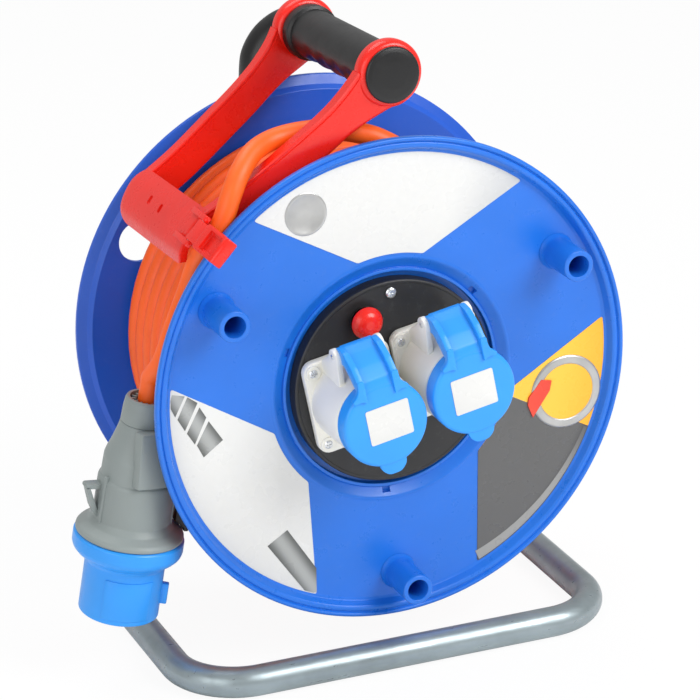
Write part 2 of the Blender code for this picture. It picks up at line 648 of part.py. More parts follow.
def make_barrel(finishes, drum_axis):
    inner = BARREL_RADIUS - BARREL_WALL
    wall = [(inner, FRONT_WALL_Y + GAP), (BARREL_RADIUS, FRONT_WALL_Y + GAP),
            (BARREL_RADIUS, REAR_WALL_Y - GAP), (inner, REAR_WALL_Y - GAP)]
    barrel = solid("drum_barrel", turned(wall, 32), finishes["blue"], drum_axis)
    entry = polar(1.0, 200.0)
    turn = Vector((0, 1, 0)).rotation_difference(entry).to_euler()
    cut(barrel, cylinder("cable_entry", CABLE_RADIUS + GAP, 60, 90, 12, finishes["blue"], drum_axis,
                         at=(0, 118, 0), turn=turn))
    gland = [(5.6, 49), (6.8, 49), (7.6, 62), (9.5, 66), (9.5, 71.4), (5.6, 71.4)]
    solid("barrel_gland", turned(gland, 12), finishes["black"], drum_axis, at=(0, 118, 0), turn=turn)
    solid("terminal_block", box((40, 18, 16), (0, REAR_WALL_Y - 3.0 - 9.3, -44)), finishes["pale"],
          drum_axis)
    bush = [(AXLE_RADIUS + GAP, 80.5), (14, 80.5), (14, 81.7), (10.5, 81.7), (10.5, 140.9),
            (AXLE_RADIUS + GAP, 140.9)]
    solid("axle_bush", turned(bush, 12), finishes["brass"], drum_axis)


def make_panel(finishes, drum_axis, socket_axes):
    disc = [(0, PANEL_Y), (60.2, PANEL_Y), (PANEL_RADIUS, 3.8), (PANEL_RADIUS, LEDGE_Y - GAP),
            (58.2, LEDGE_Y - GAP), (58.2, 6.1), (0, 6.1)]
    panel = solid("socket_panel", turned(disc, 32), finishes["black"], drum_axis)
    x, z = PANEL_SCREW_PLACE
    cut(panel, cylinder("panel_screw_hole", 2.1, 0, 20, 10, finishes["black"], drum_axis,
                        at=(x, 0, z)))
    x, z = RESET_PLACE
    cut(panel, cylinder("breaker_hole", 8.7, 0, 20, 16, finishes["black"], drum_axis, at=(x, 0, z)))
    for side, axis in socket_axes.items():
        cut(panel, cylinder(f"{side}_wire_hole", 14.4, 0, 20, 16, finishes["black"], axis))
        for corner, (sx, sz) in SOCKET_SCREWS.items():
            cut(panel, cylinder(f"{side}_panel_hole_{corner}", 2.0, 0, 20, 6, finishes["black"],
                                axis, at=(sx, 0, sz)))
    x, z = PANEL_SCREW_PLACE
    screw = [(0, 0.9), (2.4, 1.1), (3.2, 2.0), (3.2, PANEL_Y - GAP), (1.6, PANEL_Y - GAP),
             (1.6, 12.5), (0, 12.5)]
    solid("panel_screw", turned(screw, 12), finishes["steel"], drum_axis, at=(x, 0, z))


def make_breaker(finishes, drum_axis):
    x, z = RESET_PLACE
    case = solid("cutout_case", prism(rounded_rectangle(19, 16, 2, 2), 6.4, 34), finishes["black"],
                 drum_axis, at=(x, 0, z))
    weld(case, cylinder("cutout_neck", 8.4, 1.6, 8.0, 16, finishes["black"], drum_axis, at=(x, 0, z)))
    cut(case, cylinder("cutout_bore", 6.3, 0, 13, 16, finishes["black"], drum_axis, at=(x, 0, z)))
    dome = [(0, -8), (3.6, -7.6), (6.6, -6.2), (8.7, -4), (9.5, -1.8), (5.9, -1.8), (5.9, 8), (0, 8)]
    solid("reset_button", turned(dome, 16), finishes["red"], drum_axis, at=(x, 0, z))


def make_socket(side, finishes, axis):
    pale = finishes["pale"]
    rear = PANEL_Y - GAP
    shell = [(12, 10), (14, 10), (14, rear), (26.0, rear), (26.0, -3), (24.6, -36),
             (COLLAR_RADIUS, -37), (COLLAR_RADIUS, COLLAR_TIP_Y), (COLLAR_BORE, COLLAR_TIP_Y),
             (COLLAR_BORE, 0.5), (12, 0.5)]
    body = solid(f"{side}_socket_body", turned(shell, 20), pale, axis)
    plate = solid(f"{side}_plate", prism(rounded_rectangle(*PLATE_SIZE, 7), -2.5, rear), pale, axis)
    hollow = [(0, -60), (COLLAR_BORE, -60), (COLLAR_BORE, 0.5), (12, 0.5), (12, 30), (0, 30)]
    cut(plate, solid(f"{side}_plate_hollow", turned(hollow, 20), pale, axis))
    weld(body, plate)
    ear_outline = [(-1.5, 19.9), (-1.5, 27), (-10, 33), (-18, 37), (-21.5, 42.5), (-26, 44),
                   (-30, 42), (-31, 38), (-29, 30), (-27, 19.9)]
    for name, start, stop in (("inner_ear", 11.5, 15.0), ("outer_ear", -15.0, -11.5)):
        weld(body, solid(f"{side}_{name}", prism(ear_outline, start, stop, along="X"), pale, axis))
    for corner, (x, z) in SOCKET_SCREWS.items():
        cut(body, cylinder(f"{side}_plate_hole_{corner}", 2.0, -10, 10, 6, pale, axis, at=(x, 0, z)))
        screw = [(0, -4.3), (2.6, -4.0), (3.0, -2.8), (1.6, -2.8), (1.6, 9), (0, 9)]
        solid(f"{side}_socket_screw_{corner}", turned(screw, 6), finishes["steel"], axis, at=(x, 0, z))
    pin_place = (0, LID_PIN_Y, LID_PIN_Z)
    across = (0, 0, math.radians(90))
    cut(body, cylinder(f"{side}_ear_bore", 1.8, -20, 20, 12, pale, axis, at=pin_place, turn=across))
    cylinder(f"{side}_lid_pin", 1.5, -16, 16, 10, finishes["steel"], axis, at=pin_place, turn=across)

    contacts = [(0, -30), (16.5, -30), (16.5, -8), (22.2, -8), (22.2, 0.2), (0, 0.2)]
    insert = solid(f"{side}_socket_insert", turned(contacts, 20), pale, axis)
    for name, (angle, radius) in PLUG_PINS.items():
        cut(insert, cylinder(f"{side}_{name}_hole", radius + 0.3, -40, -4, 8, pale, axis,
                             at=polar(SLEEVE_CIRCLE, angle)))
    return pin_place


def make_lid(side, finishes, lid_axis):
    blue = finishes["lid_blue"]
    down = Vector((0, -LID_PIN_Y, -LID_PIN_Z))
    cap = [(0, LID_FACE_Y), (23.8, LID_FACE_Y), (LID_RADIUS, LID_FACE_Y + 1.4), (LID_RADIUS, -38.5),
           (24.2, -38.5), (24.2, -44.2), (0, -44.2)]
    lid = solid(f"{side}_lid", turned(cap, 20), blue, lid_axis, at=down)
    arm = [(LID_FACE_Y + 2.5, 17.5), (LID_FACE_Y, 19), (LID_ARM_Y, 24), (-50.2, 30), (-44, 37.5), (-35, 43.5),
           (-27, 44.3), (-22, 42), (-21.3, 38.5), (-23, 35.2), (-33, 34.8), (-39, 29.5),
           (-42.8, 25.6), (-45.5, 24.8), (-45.5, 17.5)]
    tab = [(-47.8, -21), (-48.6, -29.5), (-46, -31), (-43.2, -29.6), (-44.4, -26), (-45.2, -21)]
    weld(lid, solid(f"{side}_lid_arm", prism(arm, -11.2, 11.2, along="X"), blue, lid_axis, at=down),
         solid(f"{side}_lid_tab", prism(tab, -7, 7, along="X"), blue, lid_axis, at=down))
    cut(lid, cylinder(f"{side}_knuckle_bore", 1.8, -20, 20, 12, blue, lid_axis,
                      turn=(0, 0, math.radians(90))))
    slot = box((12.0, 16.0, 13.2), (0, 4.0, -2.9))
    cut(lid, solid(f"{side}_spring_slot", slot, blue, lid_axis))
    coils = 3
    coil = []
    for i in range(coils * 8 + 1):
        angle = math.tau * i / 8
        coil.append((-3.6 + 2.4 * i / 8, 2.7 * math.cos(angle), 2.7 * math.sin(angle)))
    tube(f"{side}_lid_spring", coil, 0.6, 0, finishes["steel"], lid_axis)


def main():
    clear_scene()
    finishes = make_finishes()
    reel = empty("reel_axis", at=(0, FRONT_RIM_Y, AXLE_HEIGHT))
    drum_axis = empty("drum_axis", reel)
    grip_axis = empty("grip_axis", reel, at=(0, 0, GRIP_HEIGHT), turn=(-GRIP_SLOPE, 0, 0))
    make_stand(finishes, reel)
    make_handle(finishes, reel, grip_axis)
    make_bail(finishes, reel, grip_axis)
    make_plug(finishes, plug_frame(reel))
    make_cable(finishes, drum_axis, reel)
    make_flanges(finishes, drum_axis)
    make_barrel(finishes, drum_axis)
    sockets = {side: empty(f"{side}_socket_axis", drum_axis, at=(x, 0, z), turn=(0, -SOCKET_TILT, 0))
               for side, (x, z) in SOCKET_PLACES.items()}
    make_panel(finishes, drum_axis, sockets)
    make_breaker(finishes, drum_axis)
    for side, axis in sockets.items():
        pin_place = make_socket(side, finishes, axis)
        make_lid(side, finishes, empty(f"{side}_lid_axis", axis, at=pin_place))


main()
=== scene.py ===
"""Extension cord reel: the visible model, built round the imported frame.

Shapes are written in millimetres in the reel's own axes: X right, Y to the rear from the front
rim's plane, Z up from the axle. The matrices below put each group where the frame has it, and
turn millimetres into metres.
"""

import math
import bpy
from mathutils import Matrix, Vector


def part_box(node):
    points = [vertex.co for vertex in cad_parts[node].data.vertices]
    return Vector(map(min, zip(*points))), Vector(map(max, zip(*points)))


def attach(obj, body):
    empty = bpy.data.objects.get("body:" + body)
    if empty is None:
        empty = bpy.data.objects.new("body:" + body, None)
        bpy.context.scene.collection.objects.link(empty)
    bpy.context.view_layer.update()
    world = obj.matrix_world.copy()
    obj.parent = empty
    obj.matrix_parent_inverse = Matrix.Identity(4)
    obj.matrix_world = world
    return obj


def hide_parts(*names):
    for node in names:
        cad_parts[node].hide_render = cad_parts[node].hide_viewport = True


bl_info = {
    "name": "Extension cord reel",
    "version": (1, 0, 0),
    "blender": (4, 5, 0),
    "location": "3D View > Sidebar > Cord Reel",
    "description": "Builds a cable drum on its tube stand, piece by piece, with its studio stage",
    "category": "Object",
}

import bmesh
import bpy
from bpy.props import FloatProperty, FloatVectorProperty, IntProperty, PointerProperty
from mathutils import Matrix, Vector

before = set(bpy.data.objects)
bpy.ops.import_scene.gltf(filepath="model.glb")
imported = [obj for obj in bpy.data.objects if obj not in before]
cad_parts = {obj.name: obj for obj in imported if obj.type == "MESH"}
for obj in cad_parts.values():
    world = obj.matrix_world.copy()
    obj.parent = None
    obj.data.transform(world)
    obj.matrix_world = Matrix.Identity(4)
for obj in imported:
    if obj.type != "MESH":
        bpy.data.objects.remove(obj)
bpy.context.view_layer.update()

MM = 0.001
FLANGE_LOW, FLANGE_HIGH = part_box("front_flange")
AXLE = Vector((0.0, FLANGE_LOW.y, (FLANGE_LOW.z + FLANGE_HIGH.z) / 2))


def place(x, y, z):
    return Matrix.Translation((x, y, z))


def tilt(degrees, axis="Y"):
    return Matrix.Rotation(math.radians(degrees), 4, axis)


# where each group stands
REEL = Matrix.Translation(AXLE) @ Matrix.Scale(MM, 4)
GRIP_HEIGHT, GRIP_LEAN = 181.1, 2.6
GRIP = REEL @ place(0, 0, GRIP_HEIGHT) @ tilt(-GRIP_LEAN, "X")
SOCKETS = {side: REEL @ place(x, 0, z) @ tilt(-11)
           for side, (x, z) in {"left": (-27.2, -3.2), "right": (26.6, 7.3)}.items()}
CLIP_ANGLE, CLIP_RADIUS = math.radians(137.6), 154.2
CLIP = (REEL @ place(CLIP_RADIUS * math.cos(CLIP_ANGLE), 10.5, CLIP_RADIUS * math.sin(CLIP_ANGLE))
        @ Matrix.Rotation(math.pi / 2 - CLIP_ANGLE, 4, "Y"))
PLUG_DOWN = Vector((-0.154, 0.063, -0.986)).normalized()
PLUG_FRONT = (Vector((0, -1, 0)) + PLUG_DOWN * PLUG_DOWN.y).normalized()
PLUG_TOP = Vector((-139.2, 32.0, -4.6))
PLUG = (REEL @ Matrix.Translation(PLUG_TOP)
        @ Matrix((PLUG_DOWN.cross(PLUG_FRONT), PLUG_DOWN, PLUG_FRONT)).transposed().to_4x4())

CUT_OUT = REEL @ place(-18.6, 0, 39.9)
PANEL_SCREW = REEL @ place(-2.0, 0, 54.0)
BADGE = REEL @ place(110.4, 0, -25.4)
STICKER = REEL @ place(-51.5, 0, 106.5)

# pegs, screws and contacts, and the winding's lines
PEG_CIRCLE = 120.5
PEG_ANGLES = (151.2, 31.2, 271.2)
SOCKET_SCREWS = [(x, z) for x in (-21.0, 21.0) for z in (-22.5, 22.5)]
CONTACT_ANGLES = {"earth": 270.0, "live": 30.0, "neutral": 150.0}
OUTER_LAYER, INNER_LAYER = 112.0, 102.2
LAYER_FRONT, LEAVING_ANGLE, LEAVING_RUN = 14.8, 52.0, 54.0
LAYER_STEPS = 72
# the free cable: from the winding over the bail and down to the plug
FREE_ROUTE = [
    (-1.5, 17.0, 140.3), (-12.3, 20.0, 144.3), (-22.7, 24.0, 146.3), (-32.1, 27.5, 146.9),
    (-48.4, 31.0, 145.6), (-62.7, 30.2, 143.4), (-75.9, 23.0, 140.0), (-86.3, 15.0, 132.3),
    (-93.7, 10.5, 121.0), (-98.9, 10.5, 106.9), (-105.9, 11.8, 95.9), (-112.7, 13.8, 85.0),
    (-118.0, 15.8, 69.1), (-125.5, 18.0, 48.8), (-131.8, 22.0, 27.6),
]


# ---------------------------------------------------------------- settings

class ReelSizes(bpy.types.PropertyGroup):
    cable_radius: FloatProperty(name="Cable radius", description="Radius of the cable's sheath",
                                default=0.006, min=0.003, max=0.01, unit="LENGTH",
                                subtype="DISTANCE")
    layer_pitch: FloatProperty(name="Turn spacing",
                               description="Distance from one turn to the next",
                               default=0.0126, min=0.006, max=0.03, unit="LENGTH",
                               subtype="DISTANCE")
    layer_turns: IntProperty(name="Turns", description="Turns in the outer layer", default=9, min=1,
                             max=20)
    round_steps: IntProperty(name="Roundness", description="Sides of the large turned parts",
                             default=160, min=24, max=256)
    small_steps: IntProperty(name="Small roundness", description="Sides of the small turned parts",
                             default=64, min=12, max=128)


def colour(label, words, value):
    return FloatVectorProperty(name=label, description=words, default=value, size=3, min=0, max=1,
                               subtype="COLOR")


class ReelColours(bpy.types.PropertyGroup):
    flange: colour("Flange", "Front flange, pegs and barrel", (0.009, 0.148, 0.64))
    # painted shade: the rear flange is the front flange's blue plastic, made a darker blue because
    # it lies in shade behind the drum
    rear_flange: colour("Rear flange", "Rear flange", (0.005, 0.09, 0.56))
    lid: colour("Lids", "Outlet lids and the plug's collar", (0.022, 0.3, 0.85))
    bail: colour("Guide bail", "Bail, clip and reset button", (0.8, 0.014, 0.006))
    cable: colour("Cable", "Cable sheath", (0.93, 0.12, 0.006))
    grip: colour("Grip", "Grip, end cap and neck", (0.005, 0.005, 0.0055))
    panel: colour("Panel", "Round socket panel", (0.018, 0.018, 0.019))
    socket: colour("Sockets", "Socket housings", (0.86, 0.85, 0.78))
    plug: colour("Plug", "Plug housing", (0.24, 0.275, 0.27))
    tube: colour("Tube", "Zinc plated tube", (0.33, 0.39, 0.41))
    label_white: colour("White labels", "White label fields", (0.7, 0.7, 0.68))
    label_yellow: colour("Yellow label", "Yellow label field", (0.98, 0.55, 0.05))
    label_grey: colour("Grey label", "Dark grey label field", (0.105, 0.105, 0.105))


# ---------------------------------------------------------------- materials

def add(tree, kind, output, inputs=None, **settings):
    """A node's output: its settings first, then each input linked or given its value."""
    node = tree.nodes.new(kind)
    for name, value in settings.items():
        setattr(node, name, value)
    for name, value in (inputs or {}).items():
        if isinstance(value, bpy.types.NodeSocket):
            tree.links.new(value, node.inputs[name])
        else:
            node.inputs[name].default_value = value
    return node.outputs[output]


def blank(name):
    """An empty finish: its tree, its shader and the object coordinates."""
    made = bpy.data.materials.new(name)
    made.use_nodes = True
    tree = made.node_tree
    where = add(tree, "ShaderNodeTexCoord", "Object")
    return made, tree, tree.nodes["Principled BSDF"], where


def noise(tree, where, scale, detail=2.0, roughness=0.5):
    return add(tree, "ShaderNodeTexNoise", "Fac",
               {"Vector": where, "Scale": scale, "Detail": detail, "Roughness": roughness})


def spread(tree, value, low, high, to_low=0.0, to_high=1.0, smooth=False):
    """A value's stretch from low to high, spread over another one."""
    return add(tree, "ShaderNodeMapRange", "Result",
               {"Value": value, "From Min": low, "From Max": high, "To Min": to_low,
                "To Max": to_high}, interpolation_type="SMOOTHSTEP" if smooth else "LINEAR")


def calculate(tree, kind, *values):
    return add(tree, "ShaderNodeMath", "Value", dict(enumerate(values)), operation=kind)


def blended(tree, share, first, second):
    """Two colours mixed by a share."""
    node = tree.nodes.new("ShaderNodeMix")
    node.data_type = "RGBA"
    tree.links.new(share, node.inputs["Factor"])
    for socket, value in (("A", first), ("B", second)):
        target = next(s for s in node.inputs if s.name == socket and s.type == "RGBA")
        if isinstance(value, bpy.types.NodeSocket):
            tree.links.new(value, target)
        else:
            target.default_value = (*value, 1.0)
    return next(s for s in node.outputs if s.type == "RGBA")


def coloured(tree, shader, tone):
    tree.links.new(tone, shader.inputs["Base Color"])


def rubbed(tree, shader, pattern, low, high, end=0.7):
    """Roughness that follows a pattern from a low value to a high one."""
    tree.links.new(spread(tree, pattern, 0.3, end, low, high), shader.inputs["Roughness"])


def relief(tree, shader, height, strength, depth):
    tree.links.new(add(tree, "ShaderNodeBump", "Normal",
                       {"Strength": strength, "Distance": depth, "Height": height}),
                   shader.inputs["Normal"])


def toned(value, factor):
    return tuple(min(1.0, channel * factor) for channel in value)


def moulded(name, base, roughness, mottle=0.06, grain=1400.0, depth=0.00006, dust=0.0):
    """Moulded plastic: faint flow clouds, fine texture, and a little dust or rubbing on it."""
    made, tree, shader, where = blank(name)
    clouds = spread(tree, noise(tree, where, 22.0, 3.0), 0.3, 0.7)
    tone = blended(tree, clouds, toned(base, 1.0 - mottle), toned(base, 1.0 + mottle))
    if dust:
        specks = spread(tree, noise(tree, where, 260.0, 7.0, 0.7), 0.56, 0.8, 0.0, dust)
        tone = blended(tree, specks, tone, (0.45, 0.45, 0.44))
    coloured(tree, shader, tone)
    rubbed(tree, shader, noise(tree, where, 90.0, 5.0, 0.65), roughness - 0.05, roughness + 0.09,
           0.75)
    relief(tree, shader, noise(tree, where, grain, 2.0), 0.35, depth)
    return made


def sheath(name, base):
    """Cable sheath: slightly shiny, with the lay of the cores just showing and rubbed places."""
    made, tree, shader, where = blank(name)
    marks = spread(tree, noise(tree, where, 55.0, 6.0, 0.7), 0.52, 0.78)
    coloured(tree, shader, blended(tree, marks, base, toned(base, 0.86)))
    rubbed(tree, shader, noise(tree, where, 120.0, 4.0), 0.4, 0.54)
    relief(tree, shader, noise(tree, where, 420.0, 3.0), 0.3, 0.00012)
    return made


def plated(name, base, roughness, streaks, metal=1.0):
    """Zinc plating or bare steel: cloudy, with drawn streaks across the bend direction."""
    made, tree, shader, where = blank(name)
    stretched = add(tree, "ShaderNodeMapping", "Vector", {"Scale": streaks, "Vector": where})
    drawn = noise(tree, stretched, 60.0, 5.0, 0.6)
    cloudy = spread(tree, noise(tree, where, 28.0, 4.0, 0.6), 0.35, 0.7)
    coloured(tree, shader, blended(tree, cloudy, toned(base, 0.82), toned(base, 1.1)))
    shader.inputs["Metallic"].default_value = metal
    rubbed(tree, shader, drawn, roughness - 0.07, roughness + 0.12)
    relief(tree, shader, drawn, 0.25, 0.00008)
    return made


def parted(tree, where):
    """How far a place is to the right of the axle and above it, in metres."""
    parts = tree.nodes.new("ShaderNodeSeparateXYZ")
    tree.links.new(where, parts.inputs["Vector"])
    return parts.outputs["X"], calculate(tree, "SUBTRACT", parts.outputs["Z"], AXLE.z)


def polar_of(tree, where):
    """Distance from the drum's axle and angle round it, in metres and radians."""
    across, up = parted(tree, where)
    squares = calculate(tree, "ADD", calculate(tree, "MULTIPLY", across, across),
                        calculate(tree, "MULTIPLY", up, up))
    return calculate(tree, "SQRT", squares), calculate(tree, "ARCTAN2", up, across)


def printed(name, base, tint, low, high, by_radius=False, roughness=0.28):
    """Printed label film: one colour fading into another with the angle or the radius."""
    made, tree, shader, where = blank(name)
    radius, angle = polar_of(tree, where)
    fade = spread(tree, radius if by_radius else angle, low, high, smooth=True)
    paper = spread(tree, noise(tree, where, 300.0, 3.0), 0.3, 0.7, 0.0, 0.06)
    tone = blended(tree, fade, base, tint)
    coloured(tree, shader, blended(tree, paper, tone, toned(base, 0.8)))
    rubbed(tree, shader, noise(tree, where, 80.0, 4.0), roughness - 0.05, roughness + 0.07)
    relief(tree, shader, noise(tree, where, 160.0, 3.0), 0.2, 0.00005)
    return made


def beam(name, light, dark):
    """Printed grey bar, light along its middle and dark at its edges."""
    made, tree, shader, where = blank(name)
    across, up = parted(tree, where)
    sideways = calculate(tree, "MULTIPLY", calculate(tree, "ADD", across, 0.127), 0.854)
    upwards = calculate(tree, "MULTIPLY", calculate(tree, "SUBTRACT", up, 0.0046), 0.52)
    away = calculate(tree, "ABSOLUTE", calculate(tree, "ADD", sideways, upwards))
    middle = spread(tree, away, 0.0005, 0.0075, smooth=True)
    coloured(tree, shader, blended(tree, middle, light, dark))
    rubbed(tree, shader, noise(tree, where, 80.0, 4.0), 0.25, 0.36)
    return made


FINISHES = {}


def make_finishes(tones):
    """Every finish, under the short name that the pieces use."""
    white = tuple(tones.label_white)
    FINISHES.update({
        "flange": moulded("flange_plastic", tuple(tones.flange), 0.3, 0.05, dust=0.05),
        # painted shade: the rear flange gets a darker blue than the front one to stand in for the
        # shade it lies in
        "rear": moulded("rear_flange_plastic", tuple(tones.rear_flange), 0.34, 0.05, dust=0.04),
        "lid": moulded("lid_plastic", tuple(tones.lid), 0.33, 0.04, 1700.0),
        "bail": moulded("bail_plastic", tuple(tones.bail), 0.27, 0.06, 1500.0, dust=0.02),
        "cable": sheath("cable_sheath", tuple(tones.cable)),
        "grip": moulded("grip_rubber", tuple(tones.grip), 0.36, 0.2, 1800.0, 0.00009),
        "panel": moulded("panel_plastic", tuple(tones.panel), 0.42, 0.12, 1300.0, 0.0001,
                         dust=0.07),
        "black": moulded("black_plastic", tuple(tones.grip), 0.4, 0.15, dust=0.04),
        "socket": moulded("socket_plastic", tuple(tones.socket), 0.35, 0.04, 1500.0, dust=0.06),
        "plug": moulded("plug_plastic", tuple(tones.plug), 0.44, 0.06, 1100.0, 0.00012),
        "catch": moulded("catch_plastic", (0.03, 0.02, 0.014), 0.4, 0.1),
        "zinc": plated("zinc_plating", tuple(tones.tube), 0.33, (1.0, 6.0, 6.0), 0.65),
        "steel": plated("bare_steel", (0.72, 0.74, 0.75), 0.28, (8.0, 1.0, 8.0)),
        "brass": plated("turned_brass", (0.82, 0.6, 0.24), 0.25, (1.0, 9.0, 1.0)),
        "top_label": printed("top_label_film", (0.5, 0.51, 0.52), white, math.radians(50),
                             math.radians(72)),
        "side_label": printed("side_label_film", tuple(tones.label_yellow), (0.95, 0.42, 0.02),
                              0.1, 0.14, by_radius=True),
        "grey_label": printed("grey_label_film", tuple(tones.label_grey), (0.06, 0.06, 0.06),
                              0.127, 0.135, by_radius=True),
        "stripe": printed("stripe_film", (0.3, 0.3, 0.29), tuple(tones.label_grey),
                          math.radians(-40), math.radians(-20)),
        "low_label": printed("low_label_film", white, toned(white, 0.9), 0.11, 0.14,
                             by_radius=True),
        "beam": beam("beam_film", (0.36, 0.37, 0.36), (0.1, 0.105, 0.1)),
        "silver": plated("silver_film", (0.5, 0.5, 0.49), 0.36, (1.0, 1.0, 1.0), 0.8),
        "tag": printed("tag_film", (0.8, 0.06, 0.03), (0.7, 0.04, 0.02), 0.09, 0.11,
                       by_radius=True),
        "lid_label": printed("lid_label_film", (0.66, 0.66, 0.65), (0.7, 0.7, 0.68), 0.0, 0.06,
                             by_radius=True),
    })


# ---------------------------------------------------------------- shaping

def rounded(outline, radius, steps=3, closed=True):
    """The outline with each corner replaced by a small arc, no longer than its sides allow."""
    points = [Vector(point) for point in outline]
    made = []
    for i, corner in enumerate(points):
        if not closed and i in (0, len(points) - 1):
            made.append(tuple(corner))
            continue
        before = points[i - 1] - corner
        after = points[(i + 1) % len(points)] - corner
        reach = min(radius, before.length * 0.45, after.length * 0.45)
        start = corner + before.normalized() * reach
        stop = corner + after.normalized() * reach
        for step in range(steps + 1):
            t = step / steps
            made.append(tuple(start.lerp(corner, t).lerp(corner.lerp(stop, t), t)))
    return made


def turned(profile, steps, soft=0.0):
    """A (radius, y) outline turned round the Y axis."""
    on_axis = profile[0][0] == 0 and profile[-1][0] == 0
    if soft:
        profile = rounded(profile, soft, closed=not on_axis)
    bm = bmesh.new()
    verts = [bm.verts.new((radius, y, 0)) for radius, y in profile]
    edges = [bm.edges.new(pair) for pair in zip(verts, verts[1:])]
    if not on_axis:
        edges.append(bm.edges.new((verts[-1], verts[0])))
    bmesh.ops.spin(bm, geom=verts + edges, cent=(0, 0, 0), axis=(0, 1, 0), angle=math.tau,
                   steps=steps, use_merge=True)
    return bm


def slab(outline, start, stop, along="Y", edge=0.0, steps=2):
    """A flat outline drawn out along Y from (x, z) points or along X from (y, z) points."""
    bm = bmesh.new()
    if along == "Y":
        corners, shift = [(u, start, v) for u, v in outline], (0, stop - start, 0)
    else:
        corners, shift = [(start, u, v) for u, v in outline], (stop - start, 0, 0)
    face = bm.faces.new([bm.verts.new(corner) for corner in corners])
    made = bmesh.ops.extrude_face_region(bm, geom=[face])["geom"]
    far = [item for item in made if isinstance(item, bmesh.types.BMVert)]
    bmesh.ops.translate(bm, vec=shift, verts=far)
    if edge:
        sharp = [e for e in bm.edges if len(e.link_faces) == 2 and e.calc_face_angle(0) > 0.6]
        bmesh.ops.bevel(bm, geom=sharp, offset=edge, segments=steps, profile=0.5, affect="EDGES",
                        clamp_overlap=True)
    return bm


def block(size, centre, edge=0.0):
    x, y, z = (Vector(size) / 2)
    bm = slab([(-x, -z), (x, -z), (x, z), (-x, z)], -y, y, edge=edge)
    bmesh.ops.translate(bm, vec=centre, verts=bm.verts)
    return bm


def skinned(rings):
    """A closed skin over rings of equal point counts."""
    bm = bmesh.new()
    loops = [[bm.verts.new(point) for point in ring] for ring in rings]
    count = len(loops[0])
    for near, far in zip(loops, loops[1:]):
        for i in range(count):
            j = (i + 1) % count
            bm.faces.new((near[i], near[j], far[j], far[i]))
    bm.faces.new(loops[0])
    bm.faces.new(loops[-1])
    return bm


def moved(bm, matrix):
    bmesh.ops.transform(bm, matrix=matrix, verts=bm.verts)
    return bm


def as_mesh(name, bm):
    """The shape as mesh data, facing out."""
    bmesh.ops.recalc_face_normals(bm, faces=bm.faces)
    mesh = bpy.data.meshes.new(name)
    bm.to_mesh(mesh)
    bm.free()
    return mesh


def in_scene(name, data):
    """A new object in the scene."""
    obj = bpy.data.objects.new(name, data)
    bpy.context.scene.collection.objects.link(obj)
    return obj


def worked_out(obj):
    """A plain mesh of what the object's modifiers make."""
    bpy.context.view_layer.update()
    depsgraph = bpy.context.evaluated_depsgraph_get()
    return bpy.data.meshes.new_from_object(obj.evaluated_get(depsgraph))


def together(*shapes):
    """Several shapes as one."""
    whole = bmesh.new()
    for bm in shapes:
        part = as_mesh("part", bm)
        whole.from_mesh(part)
        bpy.data.meshes.remove(part)
    return whole


def rounded_rectangle(width, height, corner, steps=6):
    points = []
    for index, (sx, sz) in enumerate(((1, 1), (-1, 1), (-1, -1), (1, -1))):
        for step in range(steps + 1):
            angle = math.radians(90 * (index + step / steps))
            points.append((sx * (width / 2 - corner) + corner * math.cos(angle),
                           sz * (height / 2 - corner) + corner * math.sin(angle)))
    return points


def polar(radius, degrees, y=0.0):
    angle = math.radians(degrees)
    return Vector((radius * math.cos(angle), y, radius * math.sin(angle)))


def flat(points):
    return [(point.x, point.z) for point in points]


def smooth_line(points, count):
    """Points on a smooth curve through the given ones, count to each stretch."""
    points = [Vector(point) for point in points]
    line = []
    for i in range(len(points) - 1):
        before, here = points[max(i - 1, 0)], points[i]
        there, after = points[i + 1], points[min(i + 2, len(points) - 1)]
        for step in range(count):
            t = step / count
            line.append(0.5 * (2 * here + (there - before) * t
                               + (2 * before - 5 * here + 4 * there - after) * t ** 2
                               + (3 * here - before - 3 * there + after) * t ** 3))
    line.append(points[-1])
    return line


def bent_line(corners, radius, steps):
    """A path through corners, each inner one replaced by an arc."""
    corners = [Vector(corner) for corner in corners]
    path = [corners[0]]
    for before, corner, after in zip(corners, corners[1:], corners[2:]):
        back, ahead = (before - corner).normalized(), (after - corner).normalized()
        half = back.angle(ahead) / 2
        bisector = (back + ahead).normalized()
        centre = corner + bisector * (radius / math.sin(half))
        start = corner + back * (radius / math.tan(half)) - centre
        axis = start.cross(bisector).normalized()
        for step in range(steps + 1):
            turn = Matrix.Rotation(-(math.pi - 2 * half) * step / steps, 3, axis)
            path.append(centre + turn @ start)
    path.append(corners[-1])
    return path


def finished(name, bm, matrix, finish, body, replaces=(), sharp=38.0):
    """A shape becomes a piece: merged, put in its place by the matrix and facing out."""
    bmesh.ops.remove_doubles(bm, verts=bm.verts, dist=0.0005)
    return piece(name, as_mesh(name, moved(bm, matrix)), finish, body, replaces, sharp)


def piece(name, mesh, finish, body, replaces=(), sharp=38.0):
    """A mesh in its place becomes an object with its finish, body and replaced nodes."""
    mesh.shade_smooth()
    mesh.set_sharp_from_angle(angle=math.radians(sharp))
    mesh.materials.clear()
    mesh.materials.append(FINISHES[finish])
    obj = in_scene(name, mesh)
    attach(obj, body)
    if isinstance(replaces, str):
        replaces = [replaces]
    if replaces:
        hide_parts(*replaces)
    return obj


def refined(name, node, width, finish, body, steps=2):
    """A merged copy of a frame node with its edges softened."""
    bm = bmesh.new()
    bm.from_mesh(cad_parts[node].data)
    bmesh.ops.remove_doubles(bm, verts=bm.verts, dist=0.00001)
    bmesh.ops.dissolve_limit(bm, angle_limit=math.radians(2), verts=bm.verts, edges=bm.edges)
    mesh = bpy.data.meshes.new(name)
    bm.to_mesh(mesh)
    bm.free()
    obj = piece(name, mesh, finish, body, node)
    bevel = obj.modifiers.new("soft edges", "BEVEL")
    bevel.width = width
    bevel.segments = steps
    bevel.limit_method = "ANGLE"
    bevel.angle_limit = math.radians(40)
    return obj


